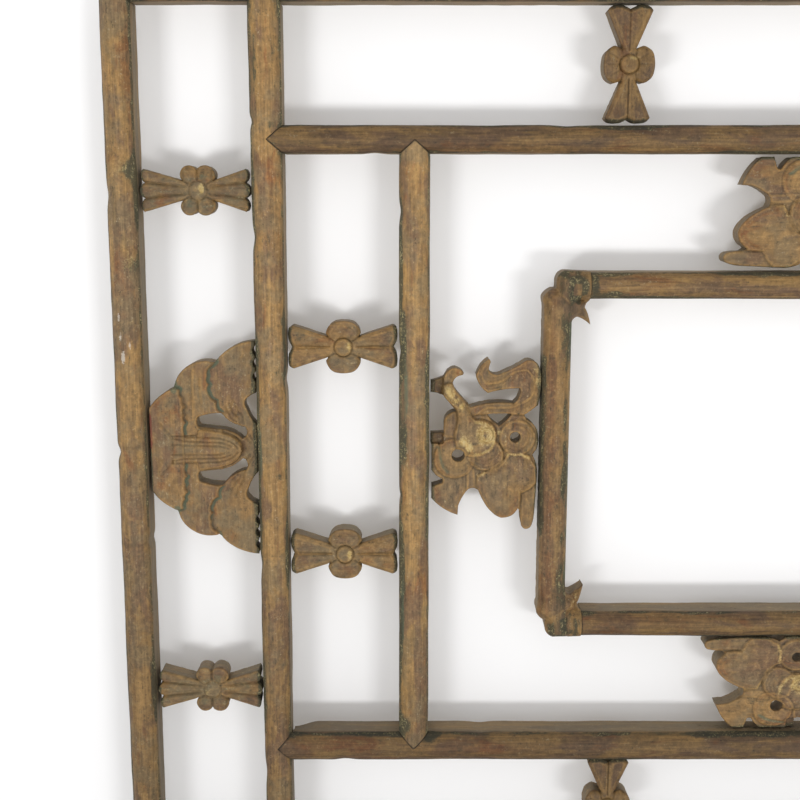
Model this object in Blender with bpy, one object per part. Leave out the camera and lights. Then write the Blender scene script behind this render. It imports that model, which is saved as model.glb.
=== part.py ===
"""Carved lattice panel: nested round-faced strips with flower bows, bats and butterflies let in between.

The panel stands in the XZ plane. Its back is y = 0, it faces -Y, x = 0 is its middle line, and
z = 0 is the centre line of the top rail. Sizes are millimetres until a mesh is made.
"""

import math

import bmesh
import bpy
import numpy as np
from mathutils import Vector
from mathutils.geometry import delaunay_2d_cdt

MM = 0.001

# Centre lines of the strips, from the panel's middle line and from the top rail
OUTER_X = 411.0
SECOND_X = 325.2
THIRD_X = 238.5
INNER_X = 152.4
OUTER_BOTTOM_Z = -552.8
SECOND_TOP_Z = -86.2
SECOND_BOTTOM_Z = -466.5
INNER_TOP_Z = -171.7
INNER_BOTTOM_Z = -384.0

# Widths of the strips; the second stiles are planed thinner towards the bottom
OUTER_WIDTH = 19.0
SECOND_STILE_WIDTHS = (17.6, 20.6)
SECOND_TOP_WIDTH = 17.4
SECOND_BOTTOM_WIDTH = 19.8
THIRD_WIDTH = 19.4
INNER_WIDTH = 17.0

# Section shared by all strips: a flat back, straight sides and a rounded face
SIDE_DEPTH = 16.5
CROWN_RISE = 6.0
CROWN_STEPS = 6

# Fit of one piece against its neighbour
GAP = 0.3
TONGUE_GAP = GAP * math.sqrt(2)
CUTTER_OVERRUN = 1.0

# Ornaments: the flat back, the carved face of the bows, and the lower wings of bats and butterflies
ORNAMENT_BACK = 1.0
ORNAMENT_FACE = 15.0
WING_FACE = 13.5
STEP_WIDTH = 0.5
ARC_TURN = math.radians(42)
MERGE = 0.02

# Places of the ornaments
BOW_OUTER_X = 366.5
BOW_OUTER_TOP_Z = -115.6
BOW_OUTER_BOTTOM_Z = -429.0
BOW_SECOND_X = 281.5
BOW_SECOND_TOP_Z = -209.0
BOW_SECOND_BOTTOM_Z = -339.2
BOW_ROW_TOP_X = 114.2
BOW_ROW_BOTTOM_X = 112.6
BAT_Z = -272.3
BUTTERFLY_Z = -269.5

# Carved corners of the inner frame: how far they reach along the rail, measured from the middle line
CORNER_JOINT_X = 133.6

PALETTE = {
    "strip": (0.20, 0.115, 0.055),
    "bow": (0.19, 0.125, 0.075),
    "bat": (0.20, 0.13, 0.075),
    "butterfly": (0.22, 0.15, 0.085),
}


# Plane geometry

def arc_points(start, end, bulge):
    """Points from start up to, but not with, end; a positive bulge swells to the right of travel."""
    if bulge == 0:
        return [start]
    chord = Vector((end[0] - start[0], end[1] - start[1]))
    along = chord.normalized()
    across = Vector((along.y, -along.x)) * math.copysign(1, bulge)
    turn = 4 * math.atan(abs(bulge))
    radius = chord.length / 2 / math.sin(turn / 2)
    middle = Vector((start[0], start[1])) + chord / 2
    steps = max(2, round(turn / ARC_TURN))
    points = []
    for step in range(steps):
        angle = (step / steps - 0.5) * turn
        rise = radius * (math.cos(angle) - math.cos(turn / 2))
        points.append(tuple(middle + along * radius * math.sin(angle) + across * rise))
    return points


def closed_path(corners):
    """Closed loop through (p, q, bulge) corners, run counterclockwise so that a bulge swells outward."""
    loop = []
    for corner, following in zip(corners, corners[1:] + corners[:1]):
        loop += arc_points(corner[:2], following[:2], corner[2])
    return loop


def open_path(corners):
    """Open line through (p, q, bulge) corners."""
    line = []
    for corner, following in zip(corners, corners[1:]):
        line += arc_points(corner[:2], following[:2], corner[2])
    return line + [tuple(corners[-1][:2])]


def mirrored_path(half):
    """Closed loop from the half of it with q >= 0, run from the +p end to the -p end of the axis."""
    back = []
    for corner, following in zip(reversed(half[:-1]), reversed(half[1:])):
        back.append((following[0], -following[1], corner[2]))
    return closed_path(half[:-1] + back)


def mirrored_line(line):
    """The same points on the other side of the axis."""
    return [(p, -q) for p, q in line]


def disc(p, q, radius, sides=8):
    """Regular loop around a centre."""
    turns = [2 * math.pi * k / sides for k in range(sides)]
    return [(p + radius * math.cos(turn), q + radius * math.sin(turn)) for turn in turns]


def is_inside(loop, p, q):
    """Whether a point lies within a closed loop, by counting crossings."""
    inside = False
    for (p0, q0), (p1, q1) in zip(loop, loop[1:] + loop[:1]):
        if (q0 > q) != (q1 > q) and p < p0 + (q - q0) * (p1 - p0) / (q1 - q0):
            inside = not inside
    return inside


def edge_distance(loop, p, q):
    """Distance from a point to a closed loop's line, positive within the loop."""
    nearest = math.inf
    for (p0, q0), (p1, q1) in zip(loop, loop[1:] + loop[:1]):
        length = max((p1 - p0) ** 2 + (q1 - q0) ** 2, 1e-12)
        share = max(0, min(1, ((p - p0) * (p1 - p0) + (q - q0) * (q1 - q0)) / length))
        nearest = min(nearest, math.hypot(p - p0 - share * (p1 - p0), q - q0 - share * (q1 - q0)))
    return nearest if is_inside(loop, p, q) else -nearest


def grown(loop, distance):
    """The loop pushed outward, corner by corner."""
    points = [Vector(point) for point in loop]
    result = []
    for before, point, after in zip(points[-1:] + points[:-1], points, points[1:] + points[:1]):
        way = (after - before).normalized()
        outward = Vector((way.y, -way.x))
        result.append(tuple(point + outward * distance))
    return result


def raised(loop, p, q, rise):
    """Rise of a flat-topped layer whose edge slopes down over STEP_WIDTH outside its loop."""
    share = (edge_distance(loop, p, q) + STEP_WIDTH) / STEP_WIDTH
    return rise * max(0.0, min(1.0, share))


# Materials and objects

def make_material(name, kind):
    """Aged wood in the colour of its kind, a little different on each piece."""
    tone = 0.92 + 0.16 * (sum(map(ord, name)) % 7) / 6
    material = bpy.data.materials.new(name + "_wood")
    material.use_nodes = True
    shader = material.node_tree.nodes["Principled BSDF"]
    shader.inputs["Base Color"].default_value = (*[tone * part for part in PALETTE[kind]], 1.0)
    shader.inputs["Roughness"].default_value = 0.62
    shader.inputs["Metallic"].default_value = 0.0
    return material


def add_object(name, mesh, kind):
    """Put a finished bmesh in the scene as one named piece of wood."""
    bmesh.ops.recalc_face_normals(mesh, faces=mesh.faces)
    data = bpy.data.meshes.new(name)
    mesh.to_mesh(data)
    mesh.free()
    data.materials.append(make_material(name, kind))
    piece = bpy.data.objects.new(name, data)
    bpy.context.scene.collection.objects.link(piece)
    return piece


# Strips

def crown_height(across, half_width):
    """Height of the rounded face over the panel's back: an arc from side to side."""
    radius = (half_width ** 2 + CROWN_RISE ** 2) / (2 * CROWN_RISE)
    return SIDE_DEPTH + math.sqrt(radius ** 2 - across ** 2) - (radius - CROWN_RISE)


def crown_profile(half_width):
    """Points (across, height) of the rounded face from one arris to the other."""
    radius = (half_width ** 2 + CROWN_RISE ** 2) / (2 * CROWN_RISE)
    opening = math.asin(half_width / radius)
    points = []
    for k in range(CROWN_STEPS + 1):
        across = radius * math.sin(opening * (2 * k / CROWN_STEPS - 1))
        points.append((across, crown_height(across, half_width)))
    return points


def strip_point(axis, centre, along, across, height):
    """Panel coordinates to metres for a stile (axis z) or a rail (axis x)."""
    if axis == "z":
        return Vector((centre + across, -height, along)) * MM
    return Vector((along, -height, centre + across)) * MM


def end_ring(mesh, axis, centre, width, place, way, end):
    """One end of a strip: its outer ring of vertices and, for a tongue, the row below the rounded face.

    A square end stops at place. A mitre runs over by the distance across towards its outer side.
    A tongue runs on in a V as far as the other strip's centre line, in the rounded part only.
    """
    form, amount = end
    half = width / 2
    faces = crown_profile(half)
    reach = [0.0] * len(faces)
    if form == "mitre":
        reach = [amount * across for across, height in faces]
    if form == "tongue":
        reach = [amount * (1 - abs(across) / half) for across, height in faces]

    def vertex(across, height, run):
        return mesh.verts.new(strip_point(axis, centre, place + way * run, across, height))

    crown = [vertex(across, height, run) for (across, height), run in zip(faces, reach)]
    ring = [vertex(-half, 0, reach[0])] + crown + [vertex(half, 0, reach[-1])]
    sill = []
    if form == "tongue":
        sill = [vertex(across, SIDE_DEPTH, run) for (across, height), run in zip(faces[1:-1], reach[1:-1])]
    return ring, sill


def close_end(mesh, ring, sill):
    """Close the end of a strip; a tongue gets its shoulder, its underside and its two slanting walls."""
    if not sill:
        mesh.faces.new(ring)
        return
    crown = ring[1:-1]
    mesh.faces.new([ring[0], crown[0], crown[-1], ring[-1]])
    mesh.faces.new([crown[0]] + sill + [crown[-1]])
    lower = [crown[0]] + sill + [crown[-1]]
    for k in range(len(crown) - 1):
        corners = [crown[k], crown[k + 1], lower[k + 1], lower[k]]
        mesh.faces.new(list(dict.fromkeys(corners)))


def notch_cutter(name, notches):
    """One hidden cutter holding a V-shaped prism for each strip that is let into this one."""
    cutter = bmesh.new()
    for axis, face, way, centre, half, reach in notches:
        grown_half = half * (1 + CUTTER_OVERRUN / reach)
        corners = [(-CUTTER_OVERRUN, -grown_half), (reach, 0.0), (-CUTTER_OVERRUN, grown_half)]
        rows = []
        for height in (SIDE_DEPTH - GAP, SIDE_DEPTH + CROWN_RISE + CUTTER_OVERRUN):
            row = []
            for deep, across in corners:
                row.append(cutter.verts.new(strip_point(axis, centre, face + way * deep, across, height)))
            rows.append(row)
        cutter.faces.new(rows[0])
        cutter.faces.new(rows[1])
        for k in range(3):
            cutter.faces.new([rows[0][k], rows[0][k - 1], rows[1][k - 1], rows[1][k]])
    guide = add_object(name + "_notches", cutter, "strip")
    guide.hide_render = True
    guide.display_type = "WIRE"
    return guide


def make_strip(name, axis, centre, places, widths, ends, notches=()):
    """A round-faced strip from one place to the other along its axis, with the given ends and notches."""
    mesh = bmesh.new()
    first, first_sill = end_ring(mesh, axis, centre, widths[0], places[0], -1, ends[0])
    last, last_sill = end_ring(mesh, axis, centre, widths[1], places[1], 1, ends[1])
    for k in range(len(first)):
        mesh.faces.new([first[k - 1], first[k], last[k], last[k - 1]])
    close_end(mesh, first, first_sill)
    close_end(mesh, last, last_sill)
    strip = add_object(name, mesh, "strip")
    if notches:
        cut = strip.modifiers.new("Notches", "BOOLEAN")
        cut.operation = "DIFFERENCE"
        cut.object = notch_cutter(name, notches)
    return strip


def second_half_width(z):
    """Half the width of a second stile at a height, between its bottom and its top."""
    share = (z - OUTER_BOTTOM_Z) / -OUTER_BOTTOM_Z
    return (SECOND_STILE_WIDTHS[0] + share * (SECOND_STILE_WIDTHS[1] - SECOND_STILE_WIDTHS[0])) / 2


def make_outer_frame():
    """Four strips mitred at the corners; the rails are notched for the second stiles."""
    half = OUTER_WIDTH / 2
    widths = (OUTER_WIDTH, OUTER_WIDTH)
    for side, label in ((-1, "left"), (1, "right")):
        places = (OUTER_BOTTOM_Z + TONGUE_GAP / 2, -TONGUE_GAP / 2)
        mitre = ("mitre", side)
        make_strip("stile_outer_" + label, "z", side * OUTER_X, places, widths, (mitre, mitre))
    for way, label, z in ((1, "top", 0.0), (-1, "bottom", OUTER_BOTTOM_Z)):
        stile_half = second_half_width(z)
        notches = [("z", z - way * half, way, side * SECOND_X, stile_half, half) for side in (-1, 1)]
        places = (-OUTER_X + TONGUE_GAP / 2, OUTER_X - TONGUE_GAP / 2)
        mitre = ("mitre", way)
        make_strip("rail_outer_" + label, "x", z, places, widths, (mitre, mitre), notches)


def make_second_frame():
    """Two stiles running from outer rail to outer rail, and two rails let in between them."""
    outer_half = OUTER_WIDTH / 2
    rails = ((SECOND_TOP_Z, SECOND_TOP_WIDTH), (SECOND_BOTTOM_Z, SECOND_BOTTOM_WIDTH))
    places = (OUTER_BOTTOM_Z + outer_half + TONGUE_GAP, -outer_half - TONGUE_GAP)
    tongue = ("tongue", outer_half)
    for side, label in ((-1, "left"), (1, "right")):
        notches = []
        for z, width in rails:
            reach = second_half_width(z)
            notches.append(("x", side * (SECOND_X - reach), side, z, width / 2, reach))
        name = "stile_second_" + label
        make_strip(name, "z", side * SECOND_X, places, SECOND_STILE_WIDTHS, (tongue, tongue), notches)
    for (z, width), way, label in zip(rails, (1, -1), ("top", "bottom")):
        reach = second_half_width(z)
        end = SECOND_X - reach - TONGUE_GAP
        notches = []
        for side in (-1, 1):
            notches.append(("z", z - way * width / 2, way, side * THIRD_X, THIRD_WIDTH / 2, width / 2))
        ends = (("tongue", reach), ("tongue", reach))
        make_strip("rail_second_" + label, "x", z, (-end, end), (width, width), ends, notches)


def make_third_stiles():
    """Two short stiles let in between the second rails."""
    top = SECOND_TOP_Z - SECOND_TOP_WIDTH / 2 - TONGUE_GAP
    bottom = SECOND_BOTTOM_Z + SECOND_BOTTOM_WIDTH / 2 + TONGUE_GAP
    ends = (("tongue", SECOND_BOTTOM_WIDTH / 2), ("tongue", SECOND_TOP_WIDTH / 2))
    for side, label in ((-1, "left"), (1, "right")):
        widths = (THIRD_WIDTH, THIRD_WIDTH)
        make_strip("stile_third_" + label, "z", side * THIRD_X, (bottom, top), widths, ends)


def make_inner_rails():
    """Top and bottom of the inner frame, cut square against its carved corners."""
    end = CORNER_JOINT_X - GAP
    square = ("square", 0)
    for label, z in (("top", INNER_TOP_Z), ("bottom", INNER_BOTTOM_Z)):
        make_strip("rail_inner_" + label, "x", z, (-end, end), (INNER_WIDTH, INNER_WIDTH), (square, square))


# Carved pieces

def carve(name, kind, outline, holes, lines, points, height, place, back_height=ORNAMENT_BACK):
    """A closed plate with a carved face.

    The face is a triangle net through the outline, the holes, the carved lines and some free points,
    lifted by height(p, q). place turns (p, q, height) into metres. The back is flat.
    """
    coords = []
    edges = []
    paths = [(loop, True) for loop in [outline] + holes] + [(line, False) for line in lines]
    for path, closed in paths:
        first = len(coords)
        coords += path
        edges += [(first + k, first + k + 1) for k in range(len(path) - 1)]
        if closed:
            edges.append((len(coords) - 1, first))
    coords += points
    net = delaunay_2d_cdt([Vector(point) for point in coords], edges, [], 0, MERGE)

    def is_wood(corners):
        p = sum(corner.x for corner in corners) / 3
        q = sum(corner.y for corner in corners) / 3
        return is_inside(outline, p, q) and not any(is_inside(hole, p, q) for hole in holes)

    mesh = bmesh.new()
    face_verts = [mesh.verts.new(place(point.x, point.y, height(point.x, point.y))) for point in net[0]]
    flat_point = dict(zip(face_verts, net[0]))
    for triangle in net[2]:
        if is_wood([net[0][k] for k in triangle]):
            mesh.faces.new([face_verts[k] for k in triangle])
    rim = [edge for edge in mesh.edges if edge.is_boundary]
    rim_verts = list(dict.fromkeys(vert for edge in rim for vert in edge.verts))
    low = {}
    for vert in rim_verts:
        low[vert] = mesh.verts.new(place(flat_point[vert].x, flat_point[vert].y, back_height))
    for edge in rim:
        a, b = edge.verts
        mesh.faces.new([a, b, low[b], low[a]])
    rim_edges = [(rim_verts.index(edge.verts[0]), rim_verts.index(edge.verts[1])) for edge in rim]
    back = delaunay_2d_cdt([flat_point[vert] for vert in rim_verts], rim_edges, [], 0, MERGE / 100)
    for triangle in back[2]:
        if is_wood([back[0][k] for k in triangle]):
            mesh.faces.new([low[rim_verts[back[3][k][0]]] for k in triangle])
    bmesh.ops.delete(mesh, geom=[vert for vert in mesh.verts if not vert.link_faces], context="VERTS")
    return add_object(name, mesh, kind)


def placer(origin_x, origin_z, p_way, q_way, stretch=1.0):
    """Turns plate coordinates into metres; p_way and q_way are the plate's axes in (x, z)."""
    def place(p, q, height):
        x = origin_x + p * stretch * p_way[0] + q * q_way[0]
        z = origin_z + p * stretch * p_way[1] + q * q_way[1]
        return Vector((x, -height, z)) * MM
    return place


# Flower bows

BOW_NECK = 9.0
BOW_BOSS_RADIUS = 5.2
BOW_BOSS_RISE = 3.4
BOW_BOSS_SHOULDER_RISE = 2.04
BOW_BOSS_CROWN = 0.7
BOW_BOSS_RING = 0.62
BOW_BOSS_FOOT = 0.7
BOW_PETAL_RISE = 1.3
BOW_PETAL_REACH = 12.6
BOW_RIBBON_HALF = 13.0
BOW_RIM_DROP = 0.4

# Lines that run out along a ribbon: their share of its half width, and their rise over its face
BOW_FLUTES = ((-0.62, 0.5), (-0.3, -0.8), (0.0, 0.7), (0.3, -0.8), (0.62, 0.5))
BOW_FLUTE_START = 0.8
BOW_FLUTE_END = 4.2
BOW_RIBBON_EDGE = 0.97
BOW_PETAL_MIDDLE = (5.2, 9.6)

# Half widths of the ribbon at the neck: the four-lobed flower, the broad-petalled one, the upright one
BOW_NECK_HALF = {"lobed": 6.0, "broad": 6.2, "upright": 4.2}

# Reach of the broad petals
BOW_PETAL_TIP = {"broad": 15.4, "upright": 14.4}


def bow_ribbon_end(kind, length):
    """Half of a ribbon's flared end, from its axis outward, as (p, q, bulge) corners."""
    if kind == "lobed":
        return [(length, 0.0, 0.25), (length - 3.2, 4.6, 0.45), (length - 2.6, BOW_RIBBON_HALF - 0.4, 0.0)]
    taper = 3.2 if kind == "upright" else 1.6
    return [
        (length - 2.6, 0.0, 0.0),
        (length - 0.6, 4.0, 0.12),
        (length - 0.6, BOW_RIBBON_HALF - taper, 0.2),
        (length - 3.6, BOW_RIBBON_HALF + 0.2, 0.0),
    ]


def bow_petals(kind):
    """Half of the flower's outline, from its right neck over to its left neck."""
    neck = BOW_NECK_HALF[kind]
    if kind == "lobed":
        return [(9.4, neck, 0.15), (10.6, 9.0, 0.75), (0.6, 12.2, 0.7), (-10.2, 9.2, 0.2), (-9.4, neck, 0.0)]
    tip = BOW_PETAL_TIP[kind]
    return [
        (9.0, neck, 0.05),
        (10.8, 8.6, 0.2),
        (5.6, tip, 0.08),
        (-5.6, tip, 0.2),
        (-10.8, 8.6, 0.05),
        (-9.0, neck, 0.0),
    ]


def bow_half_width(kind, p, length):
    """Half the ribbon's width between its neck and its flare."""
    share = max(0.0, min(1.0, (abs(p) - BOW_NECK) / (length - 3.0 - BOW_NECK)))
    return BOW_NECK_HALF[kind] + share * (BOW_RIBBON_HALF - BOW_NECK_HALF[kind])


def make_bow(name, kind, ends, place):
    """A flower between two flared ribbons; ends are the lengths of the two ribbons from its boss."""
    far, near = ends
    left_end = [(-p, q, bulge) for p, q, bulge in bow_ribbon_end(kind, far)]
    left_side = []
    for corner, following in zip(reversed(left_end[:-1]), reversed(left_end[1:])):
        left_side.append((following[0], following[1], corner[2]))
    half = bow_ribbon_end(kind, near) + bow_petals(kind) + left_side + [left_end[0]]
    outline = mirrored_path(half)

    foot_radius = BOW_BOSS_RADIUS + BOW_BOSS_FOOT

    def height(p, q):
        boss = math.hypot(p, q)
        if boss < BOW_BOSS_RADIUS * BOW_BOSS_CROWN:
            return ORNAMENT_FACE + BOW_BOSS_RISE
        if boss < (BOW_BOSS_RADIUS + foot_radius) / 2:
            return ORNAMENT_FACE + BOW_BOSS_SHOULDER_RISE
        length = near if p > 0 else far
        across = q / bow_half_width(kind, p, length)
        flute, rise = min(BOW_FLUTES, key=lambda pair: abs(pair[0] - across))
        if abs(p) > BOW_NECK + BOW_FLUTE_START / 2 and abs(across) < BOW_RIBBON_EDGE:
            return ORNAMENT_FACE + rise
        if abs(p) < BOW_NECK and foot_radius < boss < BOW_PETAL_REACH:
            return ORNAMENT_FACE + BOW_PETAL_RISE
        return ORNAMENT_FACE - BOW_RIM_DROP

    lines = []
    for way, length in ((1, near), (-1, far)):
        for flute, rise in BOW_FLUTES:
            stations = (BOW_NECK + BOW_FLUTE_START, length - BOW_FLUTE_END)
            line = [(way * p, flute * bow_half_width(kind, p, length)) for p in stations]
            lines.append(line)
    for radius in (BOW_BOSS_RADIUS * BOW_BOSS_RING, BOW_BOSS_RADIUS, foot_radius):
        ring = disc(0, 0, radius)
        lines.append(ring + ring[:1])
    petal_p, petal_q = BOW_PETAL_MIDDLE
    petal_points = [(petal_p * a, petal_q * b) for a in (-1, 1) for b in (-1, 1)]
    return carve(name, "bow", outline, [], lines, petal_points, height, place)


def make_bows():
    """Twelve bows: two in each outer and second column, and two in each outer row."""
    outer_inner_face = OUTER_X - OUTER_WIDTH / 2
    for side, label in ((-1, "left"), (1, "right")):
        for z, level in ((BOW_OUTER_TOP_Z, "top"), (BOW_OUTER_BOTTOM_Z, "bottom")):
            second_face = SECOND_X + second_half_width(z)
            ends = (BOW_OUTER_X - second_face - GAP, outer_inner_face - BOW_OUTER_X - GAP)
            place = placer(side * BOW_OUTER_X, z, (side, 0), (0, 1))
            make_bow("bow_outer_{}_{}".format(label, level), "lobed", ends, place)
        for z, level in ((BOW_SECOND_TOP_Z, "top"), (BOW_SECOND_BOTTOM_Z, "bottom")):
            second_face = SECOND_X - second_half_width(z)
            third_face = THIRD_X + THIRD_WIDTH / 2
            ends = (BOW_SECOND_X - third_face - GAP, second_face - BOW_SECOND_X - GAP)
            place = placer(side * BOW_SECOND_X, z, (side, 0), (0, 1))
            make_bow("bow_second_{}_{}".format(label, level), "broad", ends, place)
        second_rail_faces = (SECOND_TOP_Z + SECOND_TOP_WIDTH / 2, SECOND_BOTTOM_Z - SECOND_BOTTOM_WIDTH / 2)
        rows = (
            ("top", BOW_ROW_TOP_X, -OUTER_WIDTH / 2, second_rail_faces[0]),
            ("bottom", BOW_ROW_BOTTOM_X, second_rail_faces[1], OUTER_BOTTOM_Z + OUTER_WIDTH / 2),
        )
        for level, x, upper, lower in rows:
            half = (upper - lower) / 2 - GAP
            place = placer(side * x, (upper + lower) / 2, (0, 1), (1, 0))
            make_bow("bow_row_{}_{}".format(label, level), "upright", (half, half), place)


# Bats: p runs from the second stile to the outer stile, q up from the bat's axis

BAT_LENGTH = 65.4
BAT_TIER_RISE = 1.3
BAT_BODY_RISE = 3.4
BAT_CREST_RISE = 0.9
BAT_CREST_LENGTH = 0.72
BAT_CREST_START = 10.5
BAT_CREST_WIDTH = 0.55
BAT_ARM_DROP = 1.4
BAT_ARM_ROOT = 14.0
BAT_ARM_HALF = 24.0
BAT_EDGE = 0.3
BAT_SCALLOPS = (61.0, 53.0, 45.0)


def bat_outline():
    """Three wing lobes on each side of the axis, and the nicks and gaps against the stile."""
    half = [
        (BAT_LENGTH, 0.0, 0.0),
        (BAT_LENGTH, 26.0, 0.17),
        (50.2, 38.2, 0.46),
        (24.8, 54.0, 0.24),
        (BAT_EDGE, 67.0, 0.0),
    ]
    for middle in BAT_SCALLOPS:
        half += [(BAT_EDGE, middle + 2.8, -0.75), (BAT_EDGE, middle - 2.8, 0.0)]
    half += [
        (BAT_EDGE, 35.0, -0.15),
        (6.6, 31.0, -0.3),
        (6.2, 25.0, -0.12),
        (BAT_EDGE, 15.0, 0.0),
        (BAT_EDGE, 0.0, 0.0),
    ]
    return mirrored_path(half)


def bat_slot():
    """The pierced slot between the body and the upper wing."""
    return closed_path([
        (35.8, 14.0, 0.35),
        (35.8, 20.2, 0.1),
        (21.8, 22.6, -0.2),
        (7.6, 13.4, 0.5),
        (9.4, 6.2, -0.15),
        (21.0, 12.4, 0.0),
    ])


def bat_body():
    """The tongue-shaped body with its rounded tip towards the stile."""
    return closed_path([
        (52.0, -7.0, 0.5),
        (52.0, 7.0, 0.1),
        (26.0, 10.2, 0.16),
        (10.4, 0.0, 0.16),
        (26.0, -10.2, 0.1),
    ])


def bat_tier(edge):
    """Loop around everything on the outer side of a scalloped edge, drawn for q >= 0 and mirrored."""
    far = BAT_LENGTH + 5
    upper = open_path(edge)
    lower = mirrored_line(upper[::-1])
    return [(far, -75.0), (far, 75.0), (upper[0][0], 75.0)] + upper + lower + [(upper[0][0], -75.0)]


BAT_FIRST_EDGE = [
    (50.2, 38.2, 0.0),
    (45.4, 35.4, -0.3),
    (44.4, 27.6, -0.3),
    (44.4, 19.4, -0.3),
    (44.8, 11.0, 0.0),
]
BAT_SECOND_EDGE = [
    (24.8, 54.0, 0.0),
    (28.8, 48.0, -0.25),
    (29.2, 39.0, -0.25),
    (25.0, 30.6, -0.2),
    (21.8, 22.6, 0.0),
]


def make_bats():
    """A bat on each side between the outer and the second stile."""
    outline = bat_outline()
    slot = bat_slot()
    holes = [slot, mirrored_line(slot)]
    body = bat_body()
    tiers = [bat_tier(BAT_FIRST_EDGE), bat_tier(BAT_SECOND_EDGE)]
    crest = [(p * BAT_CREST_LENGTH + BAT_CREST_START, q * BAT_CREST_WIDTH) for p, q in body]

    def height(p, q):
        rise = sum(raised(tier, p, q, BAT_TIER_RISE) for tier in tiers)
        if p < BAT_ARM_ROOT and abs(q) < BAT_ARM_HALF:
            rise -= BAT_ARM_DROP
        body_rise = raised(body, p, q, BAT_BODY_RISE) + raised(crest, p, q, BAT_CREST_RISE)
        return WING_FACE + max(rise, body_rise)

    foot = grown(body, STEP_WIDTH)
    lines = [loop + loop[:1] for loop in (body, foot, crest)]
    for edge in (BAT_FIRST_EDGE, BAT_SECOND_EDGE):
        upper = open_path(edge)
        shifted = [(p - STEP_WIDTH, q) for p, q in upper]
        for line in (upper, shifted):
            lines += [line, mirrored_line(line)]
    arm_root = [(BAT_ARM_ROOT, BAT_ARM_HALF), (BAT_ARM_ROOT, -BAT_ARM_HALF)]
    for side, label in ((-1, "left"), (1, "right")):
        place = placer(side * (SECOND_X + second_half_width(BAT_Z)), BAT_Z, (side, 0), (0, 1))
        carve("bat_" + label, "bat", outline, holes, lines, arm_root, height, place)


# Butterflies: p runs from the outer neighbour (-34) to the inner frame (+34), q along them

BUTTERFLY_HALF = 33.7
BUTTERFLY_HEAD = (0.2, 3.6, 8.2)
BUTTERFLY_SPIRALS = ((19.6, 4.4, 11.0, 3.2), (-19.0, -8.6, 12.4, 3.9))
BUTTERFLY_EYES = ((18.3, 4.8), (-16.6, -6.6))


def butterfly_outline():
    """Feeler, scrolled ribbon, two spirals, a pointed wing, a broad wing and a tail.

    The outline runs clockwise, so here a negative bulge swells outward.
    """
    edge = BUTTERFLY_HALF
    feeler = [
        (-edge, 32.3, 0.0),
        (-edge, 39.0, 0.0),
        (-26.1, 41.6, 0.0),
        (-24.8, 43.8, -0.25),
        (-19.0, 47.8, -0.15),
        (-13.9, 45.2, -0.6),
        (-14.4, 43.2, 0.0),
        (-16.8, 42.5, 0.25),
        (-20.1, 38.3, 0.1),
        (-16.8, 32.2, 0.0),
    ]
    ribbon = [
        (-9.2, 23.6, -0.12),
        (17.2, 26.0, 0.25),
        (20.8, 35.2, 0.08),
        (1.3, 32.4, -0.2),
        (-6.2, 42.9, -0.2),
        (1.3, 53.3, -0.5),
        (2.4, 50.6, 0.1),
        (1.6, 46.5, 0.3),
        (7.5, 43.8, 0.05),
        (24.3, 52.4, -0.3),
        (31.4, 50.1, -0.1),
        (edge, 43.0, 0.0),
        (edge, 38.0, -0.05),
        (31.8, 24.8, 0.0),
        (23.8, 18.6, 0.0),
    ]
    right_side = [
        (25.2, 15.6, -0.2),
        (31.6, 9.4, -0.15),
        (31.8, -2.8, 0.0),
        (29.2, -6.6, -0.15),
        (32.3, -19.0, 0.0),
        (30.9, -44.1, -0.06),
        (27.6, -53.4, -0.5),
        (23.0, -53.0, -0.05),
        (21.6, -44.0, 0.0),
    ]
    lower_wings = [
        (20.4, -43.9, -0.14),
        (6.6, -46.4, -0.2),
        (-4.0, -30.4, 0.35),
        (-10.2, -28.4, 0.1),
        (-16.2, -39.0, 0.0),
        (-16.6, -44.8, -0.15),
        (-33.0, -34.0, 0.0),
        (-33.0, -26.6, 0.0),
        (-26.4, -24.4, 0.25),
        (-26.4, -21.8, -0.15),
    ]
    left_side = [
        (-33.0, -16.0, 0.0),
        (-33.0, 0.0, 0.0),
        (-edge, 1.0, 0.0),
        (-edge, 6.6, 0.0),
        (-25.4, 7.2, -0.1),
        (-25.0, 16.0, -0.3),
        (-18.0, 20.8, 0.0),
        (-26.2, 31.2, 0.0),
    ]
    return closed_path(feeler + ribbon + right_side + lower_wings + left_side)


def butterfly_holes():
    """The gap between ribbon and head, and the eyes of the two spirals."""
    gap = closed_path([(1.3, 19.0, 0.0), (4.0, 15.0, 0.0), (8.4, 11.6, 0.0), (16.0, 19.4, 0.0)])
    eyes = [disc(p, q, spiral[3], 7) for (p, q), spiral in zip(BUTTERFLY_EYES, BUTTERFLY_SPIRALS)]
    return [gap] + eyes


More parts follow.
